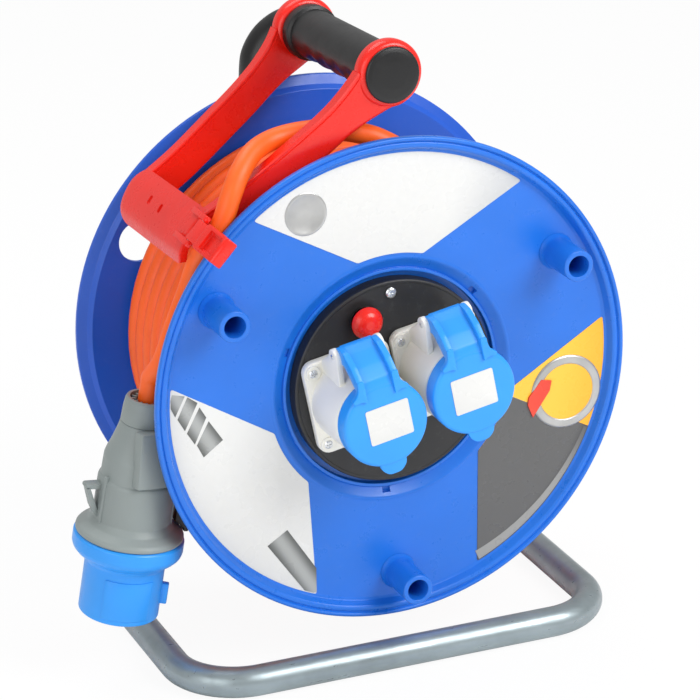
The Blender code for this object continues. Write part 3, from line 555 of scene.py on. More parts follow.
def cross_slots(centre, reach, depth, matrix):
    """Cutters for the crossed slots of a screw head."""
    return [(block((across, depth, high), centre), matrix)
            for across, high in ((0.7, reach), (reach, 0.7))]


def pierce(obj, *cutters):
    """Cuts shapes out of a finished piece and keeps the result as its mesh."""
    for index, (bm, matrix) in enumerate(cutters):
        name = f"{obj.name}_cut_{index}"
        cut = obj.modifiers.new(name, "BOOLEAN")
        cut.operation, cut.solver = "DIFFERENCE", "EXACT"
        cut.object = in_scene(name, as_mesh(name, moved(bm, matrix)))
    kept = worked_out(obj)
    tools = [modifier.object for modifier in obj.modifiers]
    obj.modifiers.clear()
    old, obj.data = obj.data, kept
    bpy.data.meshes.remove(old)
    for tool in tools:
        bpy.data.meshes.remove(tool.data)
    kept.shade_smooth()
    kept.set_sharp_from_angle(angle=math.radians(38))


# ---------------------------------------------------------------- geometry nodes

def new_tree(name, inputs):
    """An empty tree and the outputs of its group input."""
    tree = bpy.data.node_groups.new(name, "GeometryNodeTree")
    tree.interface.new_socket(name="Geometry", in_out="INPUT", socket_type="NodeSocketGeometry")
    for label, kind in inputs.items():
        tree.interface.new_socket(name=label, in_out="INPUT", socket_type=kind)
    tree.interface.new_socket(name="Geometry", in_out="OUTPUT", socket_type="NodeSocketGeometry")
    return tree, tree.nodes.new("NodeGroupInput").outputs


def end_tree(tree, entry, geometry):
    """Makes instances real, gives the finish and leads to the group output."""
    real = add(tree, "GeometryNodeRealizeInstances", "Geometry", {"Geometry": geometry})
    painted = add(tree, "GeometryNodeSetMaterial", "Geometry",
                  {"Geometry": real, "Material": entry["Finish"]})
    tree.links.new(painted, tree.nodes.new("NodeGroupOutput").inputs["Geometry"])
    return tree


def sweep_tree():
    """A round bar of a given radius along a line of edges."""
    if "round bar along a line" in bpy.data.node_groups:
        return bpy.data.node_groups["round bar along a line"]
    tree, entry = new_tree("round bar along a line", {
        "Radius": "NodeSocketFloat", "Sides": "NodeSocketInt", "Finish": "NodeSocketMaterial"})
    line = add(tree, "GeometryNodeMeshToCurve", "Curve", {"Mesh": entry["Geometry"]})
    ring = add(tree, "GeometryNodeCurvePrimitiveCircle", "Curve",
               {"Resolution": entry["Sides"], "Radius": entry["Radius"]})
    bar = add(tree, "GeometryNodeCurveToMesh", "Mesh",
              {"Curve": line, "Profile Curve": ring, "Fill Caps": True})
    return end_tree(tree, entry, bar)


def repeat_tree():
    """One small piece on every point, turned by the point's own angles."""
    if "piece on every point" in bpy.data.node_groups:
        return bpy.data.node_groups["piece on every point"]
    tree, entry = new_tree("piece on every point", {
        "Piece": "NodeSocketObject", "Finish": "NodeSocketMaterial"})
    source = add(tree, "GeometryNodeObjectInfo", "Geometry", {"Object": entry["Piece"]})
    angles = add(tree, "GeometryNodeInputNamedAttribute", "Attribute", {"Name": "turn"},
                 data_type="FLOAT_VECTOR")
    turn = add(tree, "FunctionNodeEulerToRotation", "Rotation", {"Euler": angles})
    spots = add(tree, "GeometryNodeInstanceOnPoints", "Instances",
                {"Points": entry["Geometry"], "Instance": source, "Rotation": turn})
    return end_tree(tree, entry, spots)


def grown(host, tree, values):
    """Runs a tree on a host object and gives its result as a plain mesh."""
    modifier = host.modifiers.new(tree.name, "NODES")
    modifier.node_group = tree
    sockets = {item.name: item.identifier for item in tree.interface.items_tree
               if item.in_out == "INPUT"}
    for label, value in values.items():
        modifier[sockets[label]] = value
    mesh = worked_out(host)
    bare = host.data
    bpy.data.objects.remove(host)
    bpy.data.meshes.remove(bare)
    return mesh


def bar_mesh(name, points, radius, sides, finish):
    """A round bar along points, in metres."""
    line = bpy.data.meshes.new(name + "_line")
    edges = [(i, i + 1) for i in range(len(points) - 1)]
    line.from_pydata([tuple(point) for point in points], edges, [])
    mesh = grown(in_scene(line.name, line), sweep_tree(),
                 {"Radius": radius, "Sides": sides, "Finish": FINISHES[finish]})
    mesh.name = name
    return mesh


def repeated_mesh(name, bm, spots, finish):
    """A small shape set on spots, each one a place and Euler angles, in metres."""
    small = as_mesh(name + "_one", moved(bm, Matrix.Scale(MM, 4)))
    one = in_scene(small.name, small)
    points = bpy.data.meshes.new(name + "_spots")
    points.from_pydata([tuple(spot) for spot, _ in spots], [], [])
    turns = points.attributes.new("turn", "FLOAT_VECTOR", "POINT")
    for item, (_, angles) in zip(turns.data, spots):
        item.vector = angles
    mesh = grown(in_scene(points.name, points), repeat_tree(),
                 {"Piece": one, "Finish": FINISHES[finish]})
    bpy.data.objects.remove(one)
    bpy.data.meshes.remove(small)
    mesh.name = name
    return mesh


# ---------------------------------------------------------------- the cable

def layer_line(radius, turns, pitch, front, end_angle, leading=0.0):
    """A wound layer's centre line: up out of the layer below, to the front, then a straight run."""
    last = turns * LAYER_STEPS
    line = []
    for i in range(last + 1):
        back = (last - i) / LAYER_STEPS
        line.append(polar(radius, end_angle - 360.0 * back, front + pitch * back))
    dive = [polar(radius - 0.75 * k * k, end_angle - 4.0 * k, line[0].y + 0.1)
            for k in range(4, 0, -1)]
    if leading:
        line.append(line[-1] + polar(1.0, end_angle + 90.0) * leading)
    return dive + line


class REEL_OT_free_cable(bpy.types.Operator):
    """Makes the free end of the cable, from the winding over the bail down to the plug"""
    bl_idname = "reel.free_cable"
    bl_label = "Free cable"

    def execute(self, context):
        sizes = context.scene.reel_sizes
        lead = polar(1.0, LEAVING_ANGLE + 90.0)
        start = polar(OUTER_LAYER, LEAVING_ANGLE, LAYER_FRONT) + lead * (LEAVING_RUN + 0.3)
        corners = [start + lead * 12.0] + FREE_ROUTE + [PLUG_TOP - PLUG_DOWN * 19.0]
        line = [start] + smooth_line(corners, 8)
        line += [PLUG_TOP - PLUG_DOWN * 9.0, PLUG_TOP + PLUG_DOWN * 6.7]
        path = [REEL @ point for point in line]
        mesh = bar_mesh("free_cable", path, sizes.cable_radius, 32, "cable")
        cable = piece("free_cable", mesh, "cable", "bail", "cable_free_end", 60)
        return {"FINISHED"}


class REEL_OT_winding(bpy.types.Operator):
    """Winds the cable on the barrel: the outer layer, the one below it and the core they lie on"""
    bl_idname = "reel.winding"
    bl_label = "Wound cable"

    def execute(self, context):
        sizes = context.scene.reel_sizes
        pitch, turns = sizes.layer_pitch / MM, sizes.layer_turns
        outer = layer_line(OUTER_LAYER, turns, pitch, LAYER_FRONT, LEAVING_ANGLE, LEAVING_RUN)
        inner = layer_line(INNER_LAYER, turns, pitch, LAYER_FRONT + 0.4, 80.0)
        crossed = [Vector((-p.x, p.y, p.z)) for p in inner]
        for name, line, sides, nodes in (("outer_winding", outer, 24, "cable_outer_layer"),
                                         ("inner_winding", crossed, 16, "cable_inner_layers")):
            mesh = bar_mesh(name, [REEL @ p for p in line], sizes.cable_radius, sides, "cable")
            piece(name, mesh, "cable", "drum", nodes, 60)
        core = [(75.4, 8.9), (97.5, 8.9), (97.5, 134.1), (75.4, 134.1)]
        core = turned(core, sizes.round_steps, 1.0)
        finished("winding_core", core, REEL, "cable", "drum")
        return {"FINISHED"}


# ---------------------------------------------------------------- the drum

TAG = [(93.9, -15.3), (100.6, -16.8), (99.4, -22.9), (88.7, -38.1), (85.4, -30.0), (86.0, -25.3)]
BANDS = [
    [(-133.2, 12.4), (-125.8, 10.4), (-131.8, -1.2), (-134.2, 4.1), (-134.2, 9.2)],
    [(-124.3, 9.6), (-118.4, 5.3), (-126.3, -10.4), (-130.5, -2.9)],
    [(-117.3, 2.4), (-113.5, -4.3), (-120.7, -19.4), (-125.2, -12.1)],
    [(-112.1, -6.8), (-103.9, -19.5), (-115.7, -28.1), (-119.5, -20.2)],
    [(-66.3, -81.8), (-48.9, -109.0), (-48.9, -124.4), (-51.2, -124.2), (-56.4, -121.8),
     (-78.7, -89.6)],
]


LABEL_OUTSIDE, LABEL_INSIDE = 134.9, 75.8


def label_sector(middle, half_out, half_in):
    """The outline of a label field: an outer arc, an inner arc and straight sides."""
    points = [polar(LABEL_OUTSIDE, middle + half_out * (1 - step / 16)) for step in range(33)]
    points += [polar(LABEL_INSIDE, middle - half_in * (1 - step / 8)) for step in range(17)]
    return rounded(flat(points), 2.0)


class REEL_OT_front_flange(bpy.types.Operator):
    """Makes the front flange with its rim, recess and clip slots"""
    bl_idname = "reel.front_flange"
    bl_label = "Front flange"

    def execute(self, context):
        profile = [(57.8, 12), (64.5, 12), (64.5, 7.5), (66.4, 7.5), (66.4, 9.2), (72.0, 5.75),
                   (73.2, 5.35), (74.4, 5.75), (134.6, 5.75), (136.4, 5.1), (138.4, 1.4),
                   (139.6, 0.8), (141.2, 0.9), (142.0, 1.8), (142.8, 0.2), (143.6, 0.0),
                   (144.5, 0.2), (145, 1.0), (145, 3.4), (139.5, 5.9), (137, 8.5), (71.8, 8.5),
                   (71.8, 15), (57.8, 15)]
        flange = turned(profile, context.scene.reel_sizes.round_steps, 0.35)
        flange = finished("flange_front", flange, REEL, "flange", "drum", "front_flange")
        slots = [(block((3.0, 6.0, 5.0), (68.6, 7.0, 0)), REEL @ tilt(-a))
                 for a in (158, 42, 267)]
        pierce(flange, *slots)
        return {"FINISHED"}


class REEL_OT_rear_flange(bpy.types.Operator):
    """Makes the rear flange with its boss and its three round holes"""
    bl_idname = "reel.rear_flange"
    bl_label = "Rear flange"

    def execute(self, context):
        sizes = context.scene.reel_sizes
        profile = [(10.8, 82), (15, 82), (17, 131.5), (71.8, 131.5), (71.8, 134.5), (137, 134.5),
                   (139.5, 137.4), (145, 139.6), (145, 142.2), (144.3, 142.9), (143.0, 142.9),
                   (142.2, 141.8), (141.0, 142.1), (139, 141.9), (136.6, 137.8), (134.8, 137.25),
                   (31, 137.25), (26, 141), (10.8, 141)]
        flange = turned(profile, sizes.round_steps, 0.35)
        flange = finished("flange_rear", flange, REEL, "rear", "drum", "rear_flange")
        holes = [(turned([(0, 120), (12.5, 120), (12.5, 150), (0, 150)], sizes.small_steps),
                  REEL @ Matrix.Translation(polar(PEG_CIRCLE, angle))) for angle in PEG_ANGLES]
        pierce(flange, *holes)
        return {"FINISHED"}


class REEL_OT_pegs(bpy.types.Operator):
    """Sets the three winding pegs on the front flange"""
    bl_idname = "reel.pegs"
    bl_label = "Winding pegs"

    def execute(self, context):
        outline = [(6.3, -23.9), (8.7, -23.9), (9.2, -23.2), (9.2, 2.2), (9.9, 4.0), (11.0, 5.6),
                   (6.3, 5.6)]
        peg = turned(outline, context.scene.reel_sizes.small_steps, 0.5)
        spots = [(REEL @ polar(PEG_CIRCLE, angle), (0, 0, 0)) for angle in PEG_ANGLES]
        mesh = repeated_mesh("winding_pegs", peg, spots, "flange")
        piece("winding_pegs", mesh, "flange", "drum",
              ("winding_peg_left", "winding_peg_right", "winding_peg_lower"))
        return {"FINISHED"}


class REEL_OT_labels(bpy.types.Operator):
    """Lays the bare label fields on the front flange"""
    bl_idname = "reel.labels"
    bl_label = "Label fields"

    def field(self, name, outline, finish, level=0.0, edge=0.12):
        bm = slab(outline, 5.5 - level, 5.8, edge=edge, steps=1)
        return finished(name, bm, REEL, finish, "drum")

    def execute(self, context):
        self.field("top_label", label_sector(90.5, 37.2, 15.2), "top_label")
        self.field("low_label", label_sector(-149.0, 37.8, 14.8), "low_label")
        side = label_sector(-29.5, 37.2, 15.2)
        self.field("side_label", side, "side_label")
        lower = [(x, z) for x, z in side if z < -23.4 - 0.53 * (x - 77.4)]
        lower = [(x * 1.003 - 0.2, z * 1.002) for x, z in lower]
        self.field("grey_label", lower, "grey_label", 0.12)
        band = [polar(134.4, a) for a in range(-66, -21, 2)]
        band += [polar(132.0 + 0.085 * (a + 22), a) for a in range(-22, -67, -2)]
        self.field("label_band", flat(band), "stripe", 0.22, 0.0)
        self.field("tag_field", TAG, "tag", 1.2, 0.1)
        steps = context.scene.reel_sizes.small_steps
        ring = [(17.2, 5.0), (18.0, 4.55), (21.6, 4.55), (22.6, 5.2), (22.6, 5.8), (17.2, 5.8)]
        finished("badge_ring", turned(ring, steps, 0.3), BADGE, "silver", "drum")
        disc = [(0, 5.1), (17.4, 5.1), (17.4, 5.8), (0, 5.8)]
        finished("badge_field", turned(disc, steps), BADGE, "side_label", "drum")
        seal = [(0, 5.35), (10.6, 5.35), (11.0, 5.1), (12.2, 5.1), (12.6, 5.4), (12.6, 5.8),
                (0, 5.8)]
        finished("round_sticker", turned(seal, steps), STICKER, "silver", "drum")
        for index, outline in enumerate(BANDS):
            self.field(f"label_band_{index}", outline, "beam", 0.1, 0.0)
        return {"FINISHED"}


class REEL_OT_panel(bpy.types.Operator):
    """Makes the round socket panel, its screw and the cut-out with its reset button"""
    bl_idname = "reel.panel"
    bl_label = "Socket panel"

    def execute(self, context):
        sizes = context.scene.reel_sizes
        disc = [(0, 3.1), (58.6, 3.1), (59.0, 2.75), (60.2, 2.75), (60.85, 3.4), (60.85, 11.7),
                (58.2, 11.7), (58.2, 6.1), (0, 6.1)]
        finished("panel_disc", turned(disc, sizes.round_steps, 0.25), REEL, "panel", "drum",
                 "socket_panel")
        head = turned([(0, 1.0), (2.2, 1.15), (3.2, 1.9), (3.2, 2.9), (0, 2.9)], 32, 0.2)
        screw = finished("panel_screw_head", head, PANEL_SCREW, "steel", "drum", "panel_screw")
        pierce(screw, *cross_slots((0, 0.9, 0), 3.6, 1.6, PANEL_SCREW))
        neck = turned([(6.35, 1.6), (8.4, 1.6), (8.4, 8.0), (6.35, 8.0)], sizes.small_steps, 0.3)
        finished("cutout_neck_ring", neck, CUT_OUT, "black", "drum")
        dome = [(0, -8), (2.6, -7.85), (5.0, -7.3), (6.9, -6.2), (8.3, -4.6), (9.2, -3.2),
                (9.5, -2.4), (9.1, -1.9), (5.85, -1.9), (5.85, 8), (0, 8)]
        finished("reset_dome", turned(dome, sizes.small_steps, 0.3), CUT_OUT, "bail", "reset",
                 "reset_button")
        return {"FINISHED"}


class REEL_OT_sockets(bpy.types.Operator):
    """Makes the two socket housings with their plates, hinge ears and screws"""
    bl_idname = "reel.sockets"
    bl_label = "Sockets"

    def execute(self, context):
        sizes = context.scene.reel_sizes
        shell = [(12, 8), (14, 8), (14, 2.8), (26.0, 2.8), (26.0, -3.0), (25.0, -30), (24.6, -36),
                 (23.4, -37), (23.4, -43), (22.5, -43), (22.5, 0.5), (12, 0.5)]
        ear = [(-1.5, 19.9), (-1.5, 27), (-10, 33), (-18, 37), (-21.5, 42.5), (-26, 44), (-30, 42),
               (-31, 38), (-29, 30), (-27, 19.9)]
        hinge = [(0, -15.8), (1.5, -15.8), (1.5, 15.8), (0, 15.8)]
        insert = [(0, -30), (16.5, -30), (16.5, -8), (22.2, -8), (22.2, 0.2), (0, 0.2)]
        for side, at in SOCKETS.items():
            plate = slab(rounded_rectangle(53.0, 57.0, 7.0), -2.5, 2.8, edge=0.8)
            rim = slab(rounded_rectangle(50.0, 54.0, 6.0), -2.9, -2.0, edge=0.3)
            ears = [slab(rounded(ear, 2.5), start, stop, "X", edge=0.7)
                    for start, stop in ((11.5, 15.0), (-15.0, -11.5))]
            bosses = [moved(turned([(2.2, -3.6), (4.3, -3.6), (4.6, -2.6), (2.2, -2.6)], 32, 0.2),
                            place(x, 0, z)) for x, z in SOCKET_SCREWS]
            body = together(turned(shell, sizes.small_steps * 2, 0.5), plate, rim, *ears, *bosses)
            finished(f"{side}_socket_housing", body, at, "socket", "drum", f"{side}_socket_body")
            pin = moved(turned(hinge, 24, 0.4), place(0, -26.0, 39.5) @ tilt(90, "Z"))
            finished(f"{side}_hinge_pin", pin, at, "steel", "drum", f"{side}_lid_pin")
            carrier = turned(insert, sizes.small_steps, 0.5)
            carrier = finished(f"{side}_contact_carrier", carrier, at, "socket", "drum",
                               f"{side}_socket_insert")
            holes = []
            for name, angle in CONTACT_ANGLES.items():
                radius = 3.5 if name == "earth" else 2.7
                hole = turned([(0, -40), (radius, -40), (radius, -6), (0, -6)], 32)
                holes.append((hole, at @ Matrix.Translation(polar(8.6, angle))))
            pierce(carrier, *holes)
            head = turned([(0, -4.3), (1.9, -4.2), (3.0, -3.2), (3.0, -2.6), (0, -2.6)], 24, 0.2)
            spots = [(at @ Vector((x, 0, z)), at.to_euler()) for x, z in SOCKET_SCREWS]
            mesh = repeated_mesh(f"{side}_screw_heads", head, spots, "steel")
            names = [f"{side}_socket_screw_{v}_{h}" for v in ("upper", "lower")
                     for h in ("left", "right")]
            screws = piece(f"{side}_screw_heads", mesh, "steel", "drum", names)
            pierce(screws, *(cut for x, z in SOCKET_SCREWS
                             for cut in cross_slots((x, -4.3, z), 3.2, 1.5, at)))
        return {"FINISHED"}


class REEL_OT_lids(bpy.types.Operator):
    """Makes the two sprung lids with their channelled arms, tabs and blank label plates"""
    bl_idname = "reel.lids"
    bl_label = "Lids"

    def execute(self, context):
        sizes = context.scene.reel_sizes
        cap = [(0, -49), (23.0, -49), (24.4, -48.6), (25.2, -47.4), (25.2, -38.5), (24.2, -38.5),
               (24.2, -44.2), (0, -44.2)]
        web = [(-46.4, 15.5), (-48.2, 17.0), (-48.7, 20), (-48.8, 24), (-47.9, 28.6), (-42.0, 35.3),
               (-34.0, 41.0), (-28.5, 43.9), (-24.4, 43.8), (-24.4, 43.0), (-26.0, 43.1),
               (-28.6, 42.2), (-29.9, 39.5), (-29.8, 36.2), (-32, 34.6), (-37.0, 30.2),
               (-41.2, 26.2), (-44.0, 25.0), (-44.0, 15.5)]
        rail = [(-46.5, 24.0), (-50.4, 24.4), (-51.0, 26.5), (-50.2, 30.3), (-44, 37.7),
                (-35, 43.7), (-27, 44.4), (-22, 42), (-21.3, 38.5), (-23, 35.2), (-33, 34.8),
                (-39, 29.5), (-42.8, 25.6), (-45.0, 24.0)]
        foot = [(8.4, 31.0), (12.2, 31.0), (12.3, 27.5), (12.9, 24.6), (14.4, 22.2), (17.0, 20.4),
                (16.2, 18.6), (12.6, 19.0), (10.2, 18.6), (8.6, 17.0)]
        tongue = [(-8.5, -20), (8.5, -20), (7.5, -27), (3.6, -30.6), (-3.6, -30.6), (-7.5, -27)]
        plate_places = {"left": (2.0, 1.2), "right": (-0.4, 0.7)}
        for side, at in SOCKETS.items():
            parts = [turned(cap, sizes.small_steps * 2, 0.6),
                     slab(rounded(web, 1.2), -9.4, 9.4, "X"),
                     slab(rounded(tongue, 2.0), -48.4, -45.2, edge=0.6)]
            parts += [slab(rounded(rail, 1.5), start, stop, "X", edge=0.6)
                      for start, stop in ((8.4, 12.2), (-12.2, -8.4))]
            parts += [slab(rounded([(x * way, z) for x, z in foot], 1.0), -50.7, -47.0, edge=0.7)
                      for way in (1, -1)]
            cover = f"{side}_cover"
            finished(f"{side}_lid_cover", together(*parts), at, "lid", cover, f"{side}_lid")
            x, z = plate_places[side]
            plate = slab(rounded_rectangle(26.0, 21.4, 1.2), -49.45, -49.1, edge=0.08)
            finished(f"{side}_lid_plate", moved(plate, place(x, 0, z)), at, "lid_label", cover)
        return {"FINISHED"}


# ---------------------------------------------------------------- stand and handle

# the left upright, which carries the handle
UPRIGHT_TOP = Vector((-19.5, 157.5, 150.0))
UPRIGHT_BEND = Vector((-26.0, 157.5, -8.0))


class REEL_OT_stand(bpy.types.Operator):
    """Bends the zinc plated tube and clamps it at the hub"""
    bl_idname = "reel.stand"
    bl_label = "Stand"

    def execute(self, context):
        bar_radius, axle_height = 9.0, 171.0
        # the tube stands on a flat facet, which reaches 15 degrees to each side of straight down
        floor = bar_radius * math.cos(math.pi / 12) - axle_height
        corners = [UPRIGHT_TOP, UPRIGHT_BEND, (-131, 157.5, floor), (-131, -15, floor),
                   (131, -15, floor), (131, 157.5, floor), (26, 157.5, -8), (24.5, 157.5, 36.0)]
        line = [REEL @ point for point in bent_line(corners, 38.0, 18)]
        mesh = bar_mesh("stand_bar", line, bar_radius * MM, 40, "zinc")
        piece("stand_bar", mesh, "zinc", "stand", "stand_tube", 60)
        fittings = {"bracket_plate": "steel", "bracket_strap": "steel", "axle_nut": "zinc",
                    "bracket_bolt_left": "zinc", "bracket_bolt_right": "zinc"}
        for node, finish in fittings.items():
            refined(node + "_soft", node, 0.0005, finish, "stand")
        return {"FINISHED"}


FINGER_GROOVES = (34.0, 54.0, 74.0, 94.0)


def grip_skin(steps):
    """The hand grip: finger grooves below, a fine line at the front and a collar at the rear."""
    front, rear, rows = 14.4, 126.7, 118
    rings = []
    for index in range(rows):
        y = front + index * (rear - front) / (rows - 1)
        plain = 14.5 - 0.9 * max(0.0, 1 - (y - front) / 2.0)
        if 17.8 < y < 19.4:
            plain -= 0.5 * max(0.0, math.cos((y - 18.6) * math.pi / 1.6))
        collar = 2.0 * max(0.0, min(1.0, (y - 117.0) / 1.2)) - 0.7 * max(0.0, (y - 125.4) / 1.3)
        groove = sum(math.exp(-((y - c) / 6.0) ** 2) for c in FINGER_GROOVES)
        ring = []
        for step in range(steps):
            angle = math.tau * step / steps
            radius = plain + collar - 2.2 * groove * max(0.0, -math.sin(angle)) ** 0.8
            ring.append((radius * math.cos(angle), y, radius * math.sin(angle)))
        rings.append(ring)
    return skinned(rings)


class REEL_OT_handle(bpy.types.Operator):
    """Makes the neck, the grip with its finger grooves and the end cap"""
    bl_idname = "reel.handle"
    bl_label = "Handle"

    def execute(self, context):
        steps = context.scene.reel_sizes.small_steps
        height = GRIP_HEIGHT - 151 * math.tan(math.radians(GRIP_LEAN))
        lean = (UPRIGHT_TOP - UPRIGHT_BEND).normalized()
        start = UPRIGHT_TOP - lean * 22
        bend = [start, UPRIGHT_TOP - lean * 2, (-18.0, 157.0, 156), (-13.5, 155.5, 164),
                (-7.5, 152.5, 170), (-2.5, 148.3, 173.4), (0, 143.8, height + 0.32),
                (0, 139.4, height + 0.54)]
        line = [REEL @ point for point in smooth_line(bend, 6)]
        neck = bar_mesh("neck_elbow", line, 11.5 * MM, 48, "grip")
        piece("neck_elbow", neck, "grip", "stand", "handle_neck", 60)
        foot = turned([(9.4, -0.6), (12.1, -0.6), (12.3, 1.5), (11.5, 3.2), (9.4, 3.2)], steps, 0.4)
        turn = Vector((0, 1, 0)).rotation_difference(lean).to_matrix().to_4x4()
        finished("neck_foot", foot, REEL @ Matrix.Translation(start) @ turn, "grip", "stand")

        journal = turned([(8.4, 126), (11.7, 126), (11.7, 138.3), (8.4, 138.3)], steps, 0.3)
        sleeve = together(grip_skin(steps), journal)
        finished("grip_sleeve", sleeve, GRIP, "grip", "stand", "grip")
        cap = [(0, 0.0), (8.0, 0.1), (13.0, 0.4), (15.3, 0.9), (16.0, 1.7), (16.0, 2.7),
               (11.7, 2.7), (11.7, 14), (8.3, 14), (8.3, 1.9), (0, 1.9)]
        finished("grip_cap", turned(cap, steps, 0.3), GRIP, "grip", "stand", "grip_end_cap")
        return {"FINISHED"}


# ---------------------------------------------------------------- bail, clip and plug

ARM_SECTION = [(-10, -2.2), (-9.6, -3.4), (-8.6, -4.2), (-7, -4.5), (7.2, -4.3), (7.7, -3.6),
               (8.2, -3.6), (8.6, -4.4), (9.3, -4.5), (10, -4.0), (10, 3.8), (9.3, 4.5),
               (-8.6, 4.5), (-10, 3.2)]
ARMS = {
    "front": [(-9.3, 8.2, -8.0), (-17, 10.6, -15), (-39, 16.5, -34.4), (-57.7, 19.5, -48.8),
              (-82, 24.3, -67), (-101.5, 27.5, -79.3), (-113, 29, -87.3)],
    "rear": [(-9.3, 132.3, -8.0), (-17, 130.6, -15), (-39, 128.3, -34.4), (-57.7, 126.0, -48.8),
             (-82, 123.0, -67), (-101.5, 120.5, -79.3), (-113, 119.0, -87.3)],
}
RING_SECTION = [(12, 0), (16.6, 0.1), (18.2, 1.2), (19.1, 3.0), (19.3, 5.0), (19.1, 8.6),
                (17.8, 11), (12, 11)]
CROSSBAR = [(-103.5, -68.5), (-111.5, -75), (-117, -83), (-120.5, -91), (-121, -97.5),
            (-116.2, -97.5), (-115.4, -91.5), (-112.3, -84.8), (-107.5, -78), (-100.5, -72.3)]


def arm_skin(points):
    """An arm of the bail: a section along a line, flared at the ring and drawn in at the end."""
    line = smooth_line(points, 8)
    rings = []
    for i, middle in enumerate(line):
        run = line[min(i + 1, len(line) - 1)] - line[max(i - 1, 0)]
        run = Vector((run.x, 0, run.z)).normalized()
        out = Vector((run.z, 0, -run.x))
        wider = 4.9 * max(0.0, (44.0 - math.hypot(middle.x, middle.z)) / 31.8) ** 2
        limit = 10.0 + 0.4 * min(0.0, middle.x + 100.0)
        ring = []
        for side, deep in ARM_SECTION:
            reach = min(side, limit) + math.copysign(wider, side)
            ring.append(middle + out * reach + Vector((0, deep, 0)))
        rings.append(ring)
    return skinned(rings)


def along(line, share):
    """The point at a share of a line's steps."""
    spot = min(share * (len(line) - 1), len(line) - 1.001)
    return line[int(spot)].lerp(line[int(spot) + 1], spot - int(spot))


def bulge(share):
    """How far a quarter circle has left its tangent, for a radius of 1."""
    return 1 - math.sqrt(1 - share ** 2)


def crossbar_skin():
    """The curved plate between the arms, with its free corners rounded."""
    outer = smooth_line([(x, 0, z) for x, z in CROSSBAR[:5]], 6)
    inner = smooth_line([(x, 0, z) for x, z in CROSSBAR[:4:-1]], 6)
    start, stop, width = 24.8, 130.0, 37.0
    front_corner, rear_corner, arm_corner = 4.0, 19.0, 12.0
    stations = [start + front_corner * (1 - math.cos(math.radians(a))) for a in range(0, 91, 15)]
    stations += [stop - rear_corner * (1 - math.cos(math.radians(a))) for a in range(90, -1, -10)]
    rings = []
    for y in stations:
        near = max(0.0, 1 - (y - start) / front_corner)
        far = max(0.0, 1 - (stop - y) / rear_corner)
        past = max(0.0, 1 - (stop - y) / arm_corner)
        keep = 1 - (front_corner * bulge(near) + rear_corner * bulge(far)) / width
        skip = arm_corner * bulge(past) / width
        steps = [skip + (keep - skip) * i / 20 for i in range(21)]
        pairs = [(along(outer, t), along(inner, t)) for t in steps]
        thin = 0.12 * (near ** 6 + far ** 6)
        ring = [a.lerp(b, thin) for a, b in pairs] + [b.lerp(a, thin) for a, b in reversed(pairs)]
        rings.append([point + Vector((0, y, 0)) for point in ring])
    return skinned(rings)


class REEL_OT_bail(bpy.types.Operator):
    """Makes the guide bail: two rings on the grip, two ribbed arms and the crossbar"""
    bl_idname = "reel.bail"
    bl_label = "Guide bail"

    def execute(self, context):
        steps = context.scene.reel_sizes.small_steps
        parts = [arm_skin(points) for points in ARMS.values()]
        for start in (3.0, 127.0):
            ring = [(radius, start + y) for radius, y in RING_SECTION]
            parts.append(turned(ring, steps * 2, 0.8))
        finished("guide_bail_moulding", together(*parts), GRIP, "bail", "bail", "guide_bail")
        bar = finished("guide_bail_crossbar", crossbar_skin(), GRIP, "bail", "bail")
        pierce(bar, *((block((5.0, 3.8, 5.4), (152.0, 0, 0), edge=1.0),
                       REEL @ place(0, y, 0) @ tilt(-139.0)) for y in (88.0, 70.0)))
        lug = rounded([(-2.6, -1.4), (-1.4, -2.2), (20.0, -2.2), (20.0, 0.8), (-1.0, 1.8),
                       (-2.6, 1.0)], 0.9)
        root = [(14.5, -8.5), (20.5, -8.5), (20.5, 0.5), (14.5, 0.5)]
        lugs = [slab(outline, x - 1.8, x + 1.8, "X", edge=0.5)
                for x in (8.4, -8.4) for outline in (lug, root)]
        finished("clip_lugs", together(*lugs), CLIP, "bail", "bail")
        return {"FINISHED"}


class REEL_OT_clip(bpy.types.Operator):
    """Makes the clip that hooks over the front rim, and its pin"""
    bl_idname = "reel.clip"
    bl_label = "Cable clip"

    def execute(self, context):
        hook = [(-13.0, 3.0), (-14.2, 4.2), (-36.5, 2.0), (-38, 0.6), (-38, -5), (-36.5, -6.5),
                (-18, -6.5), (-15, -9.6), (-11.8, -9.6), (-11.8, -1.2)]
        neck = [(2.8, -1.0), (2.8, 1.4), (1.2, 3.0), (-15.0, 2.6), (-15.0, -1.2), (-3.0, -1.2),
                (-1.5, -2.6), (1.5, -2.6)]
        parts = together(slab(rounded(hook, 1.0), -8.0, 8.0, "X", edge=0.8),
                         slab(rounded(neck, 0.8), -6.5, 6.5, "X", edge=0.5))
        clip = finished("clip_moulding", parts, CLIP, "bail", "clip", "cable_clip")
        pierce(clip, (block((11.8, 15.0, 4.4), (0, -27.6, 3.6), edge=0.8), CLIP),
               (block((9.6, 12.6, 3.0), (0, -27.6, 1.8), edge=0.6), CLIP))
        pin = turned([(0, -10.0), (1.5, -10.0), (1.5, 10.0), (0, 10.0)], 24, 0.3)
        finished("clip_hinge_pin", moved(pin, tilt(90, "Z")), CLIP, "steel", "bail", "clip_pin")
        return {"FINISHED"}


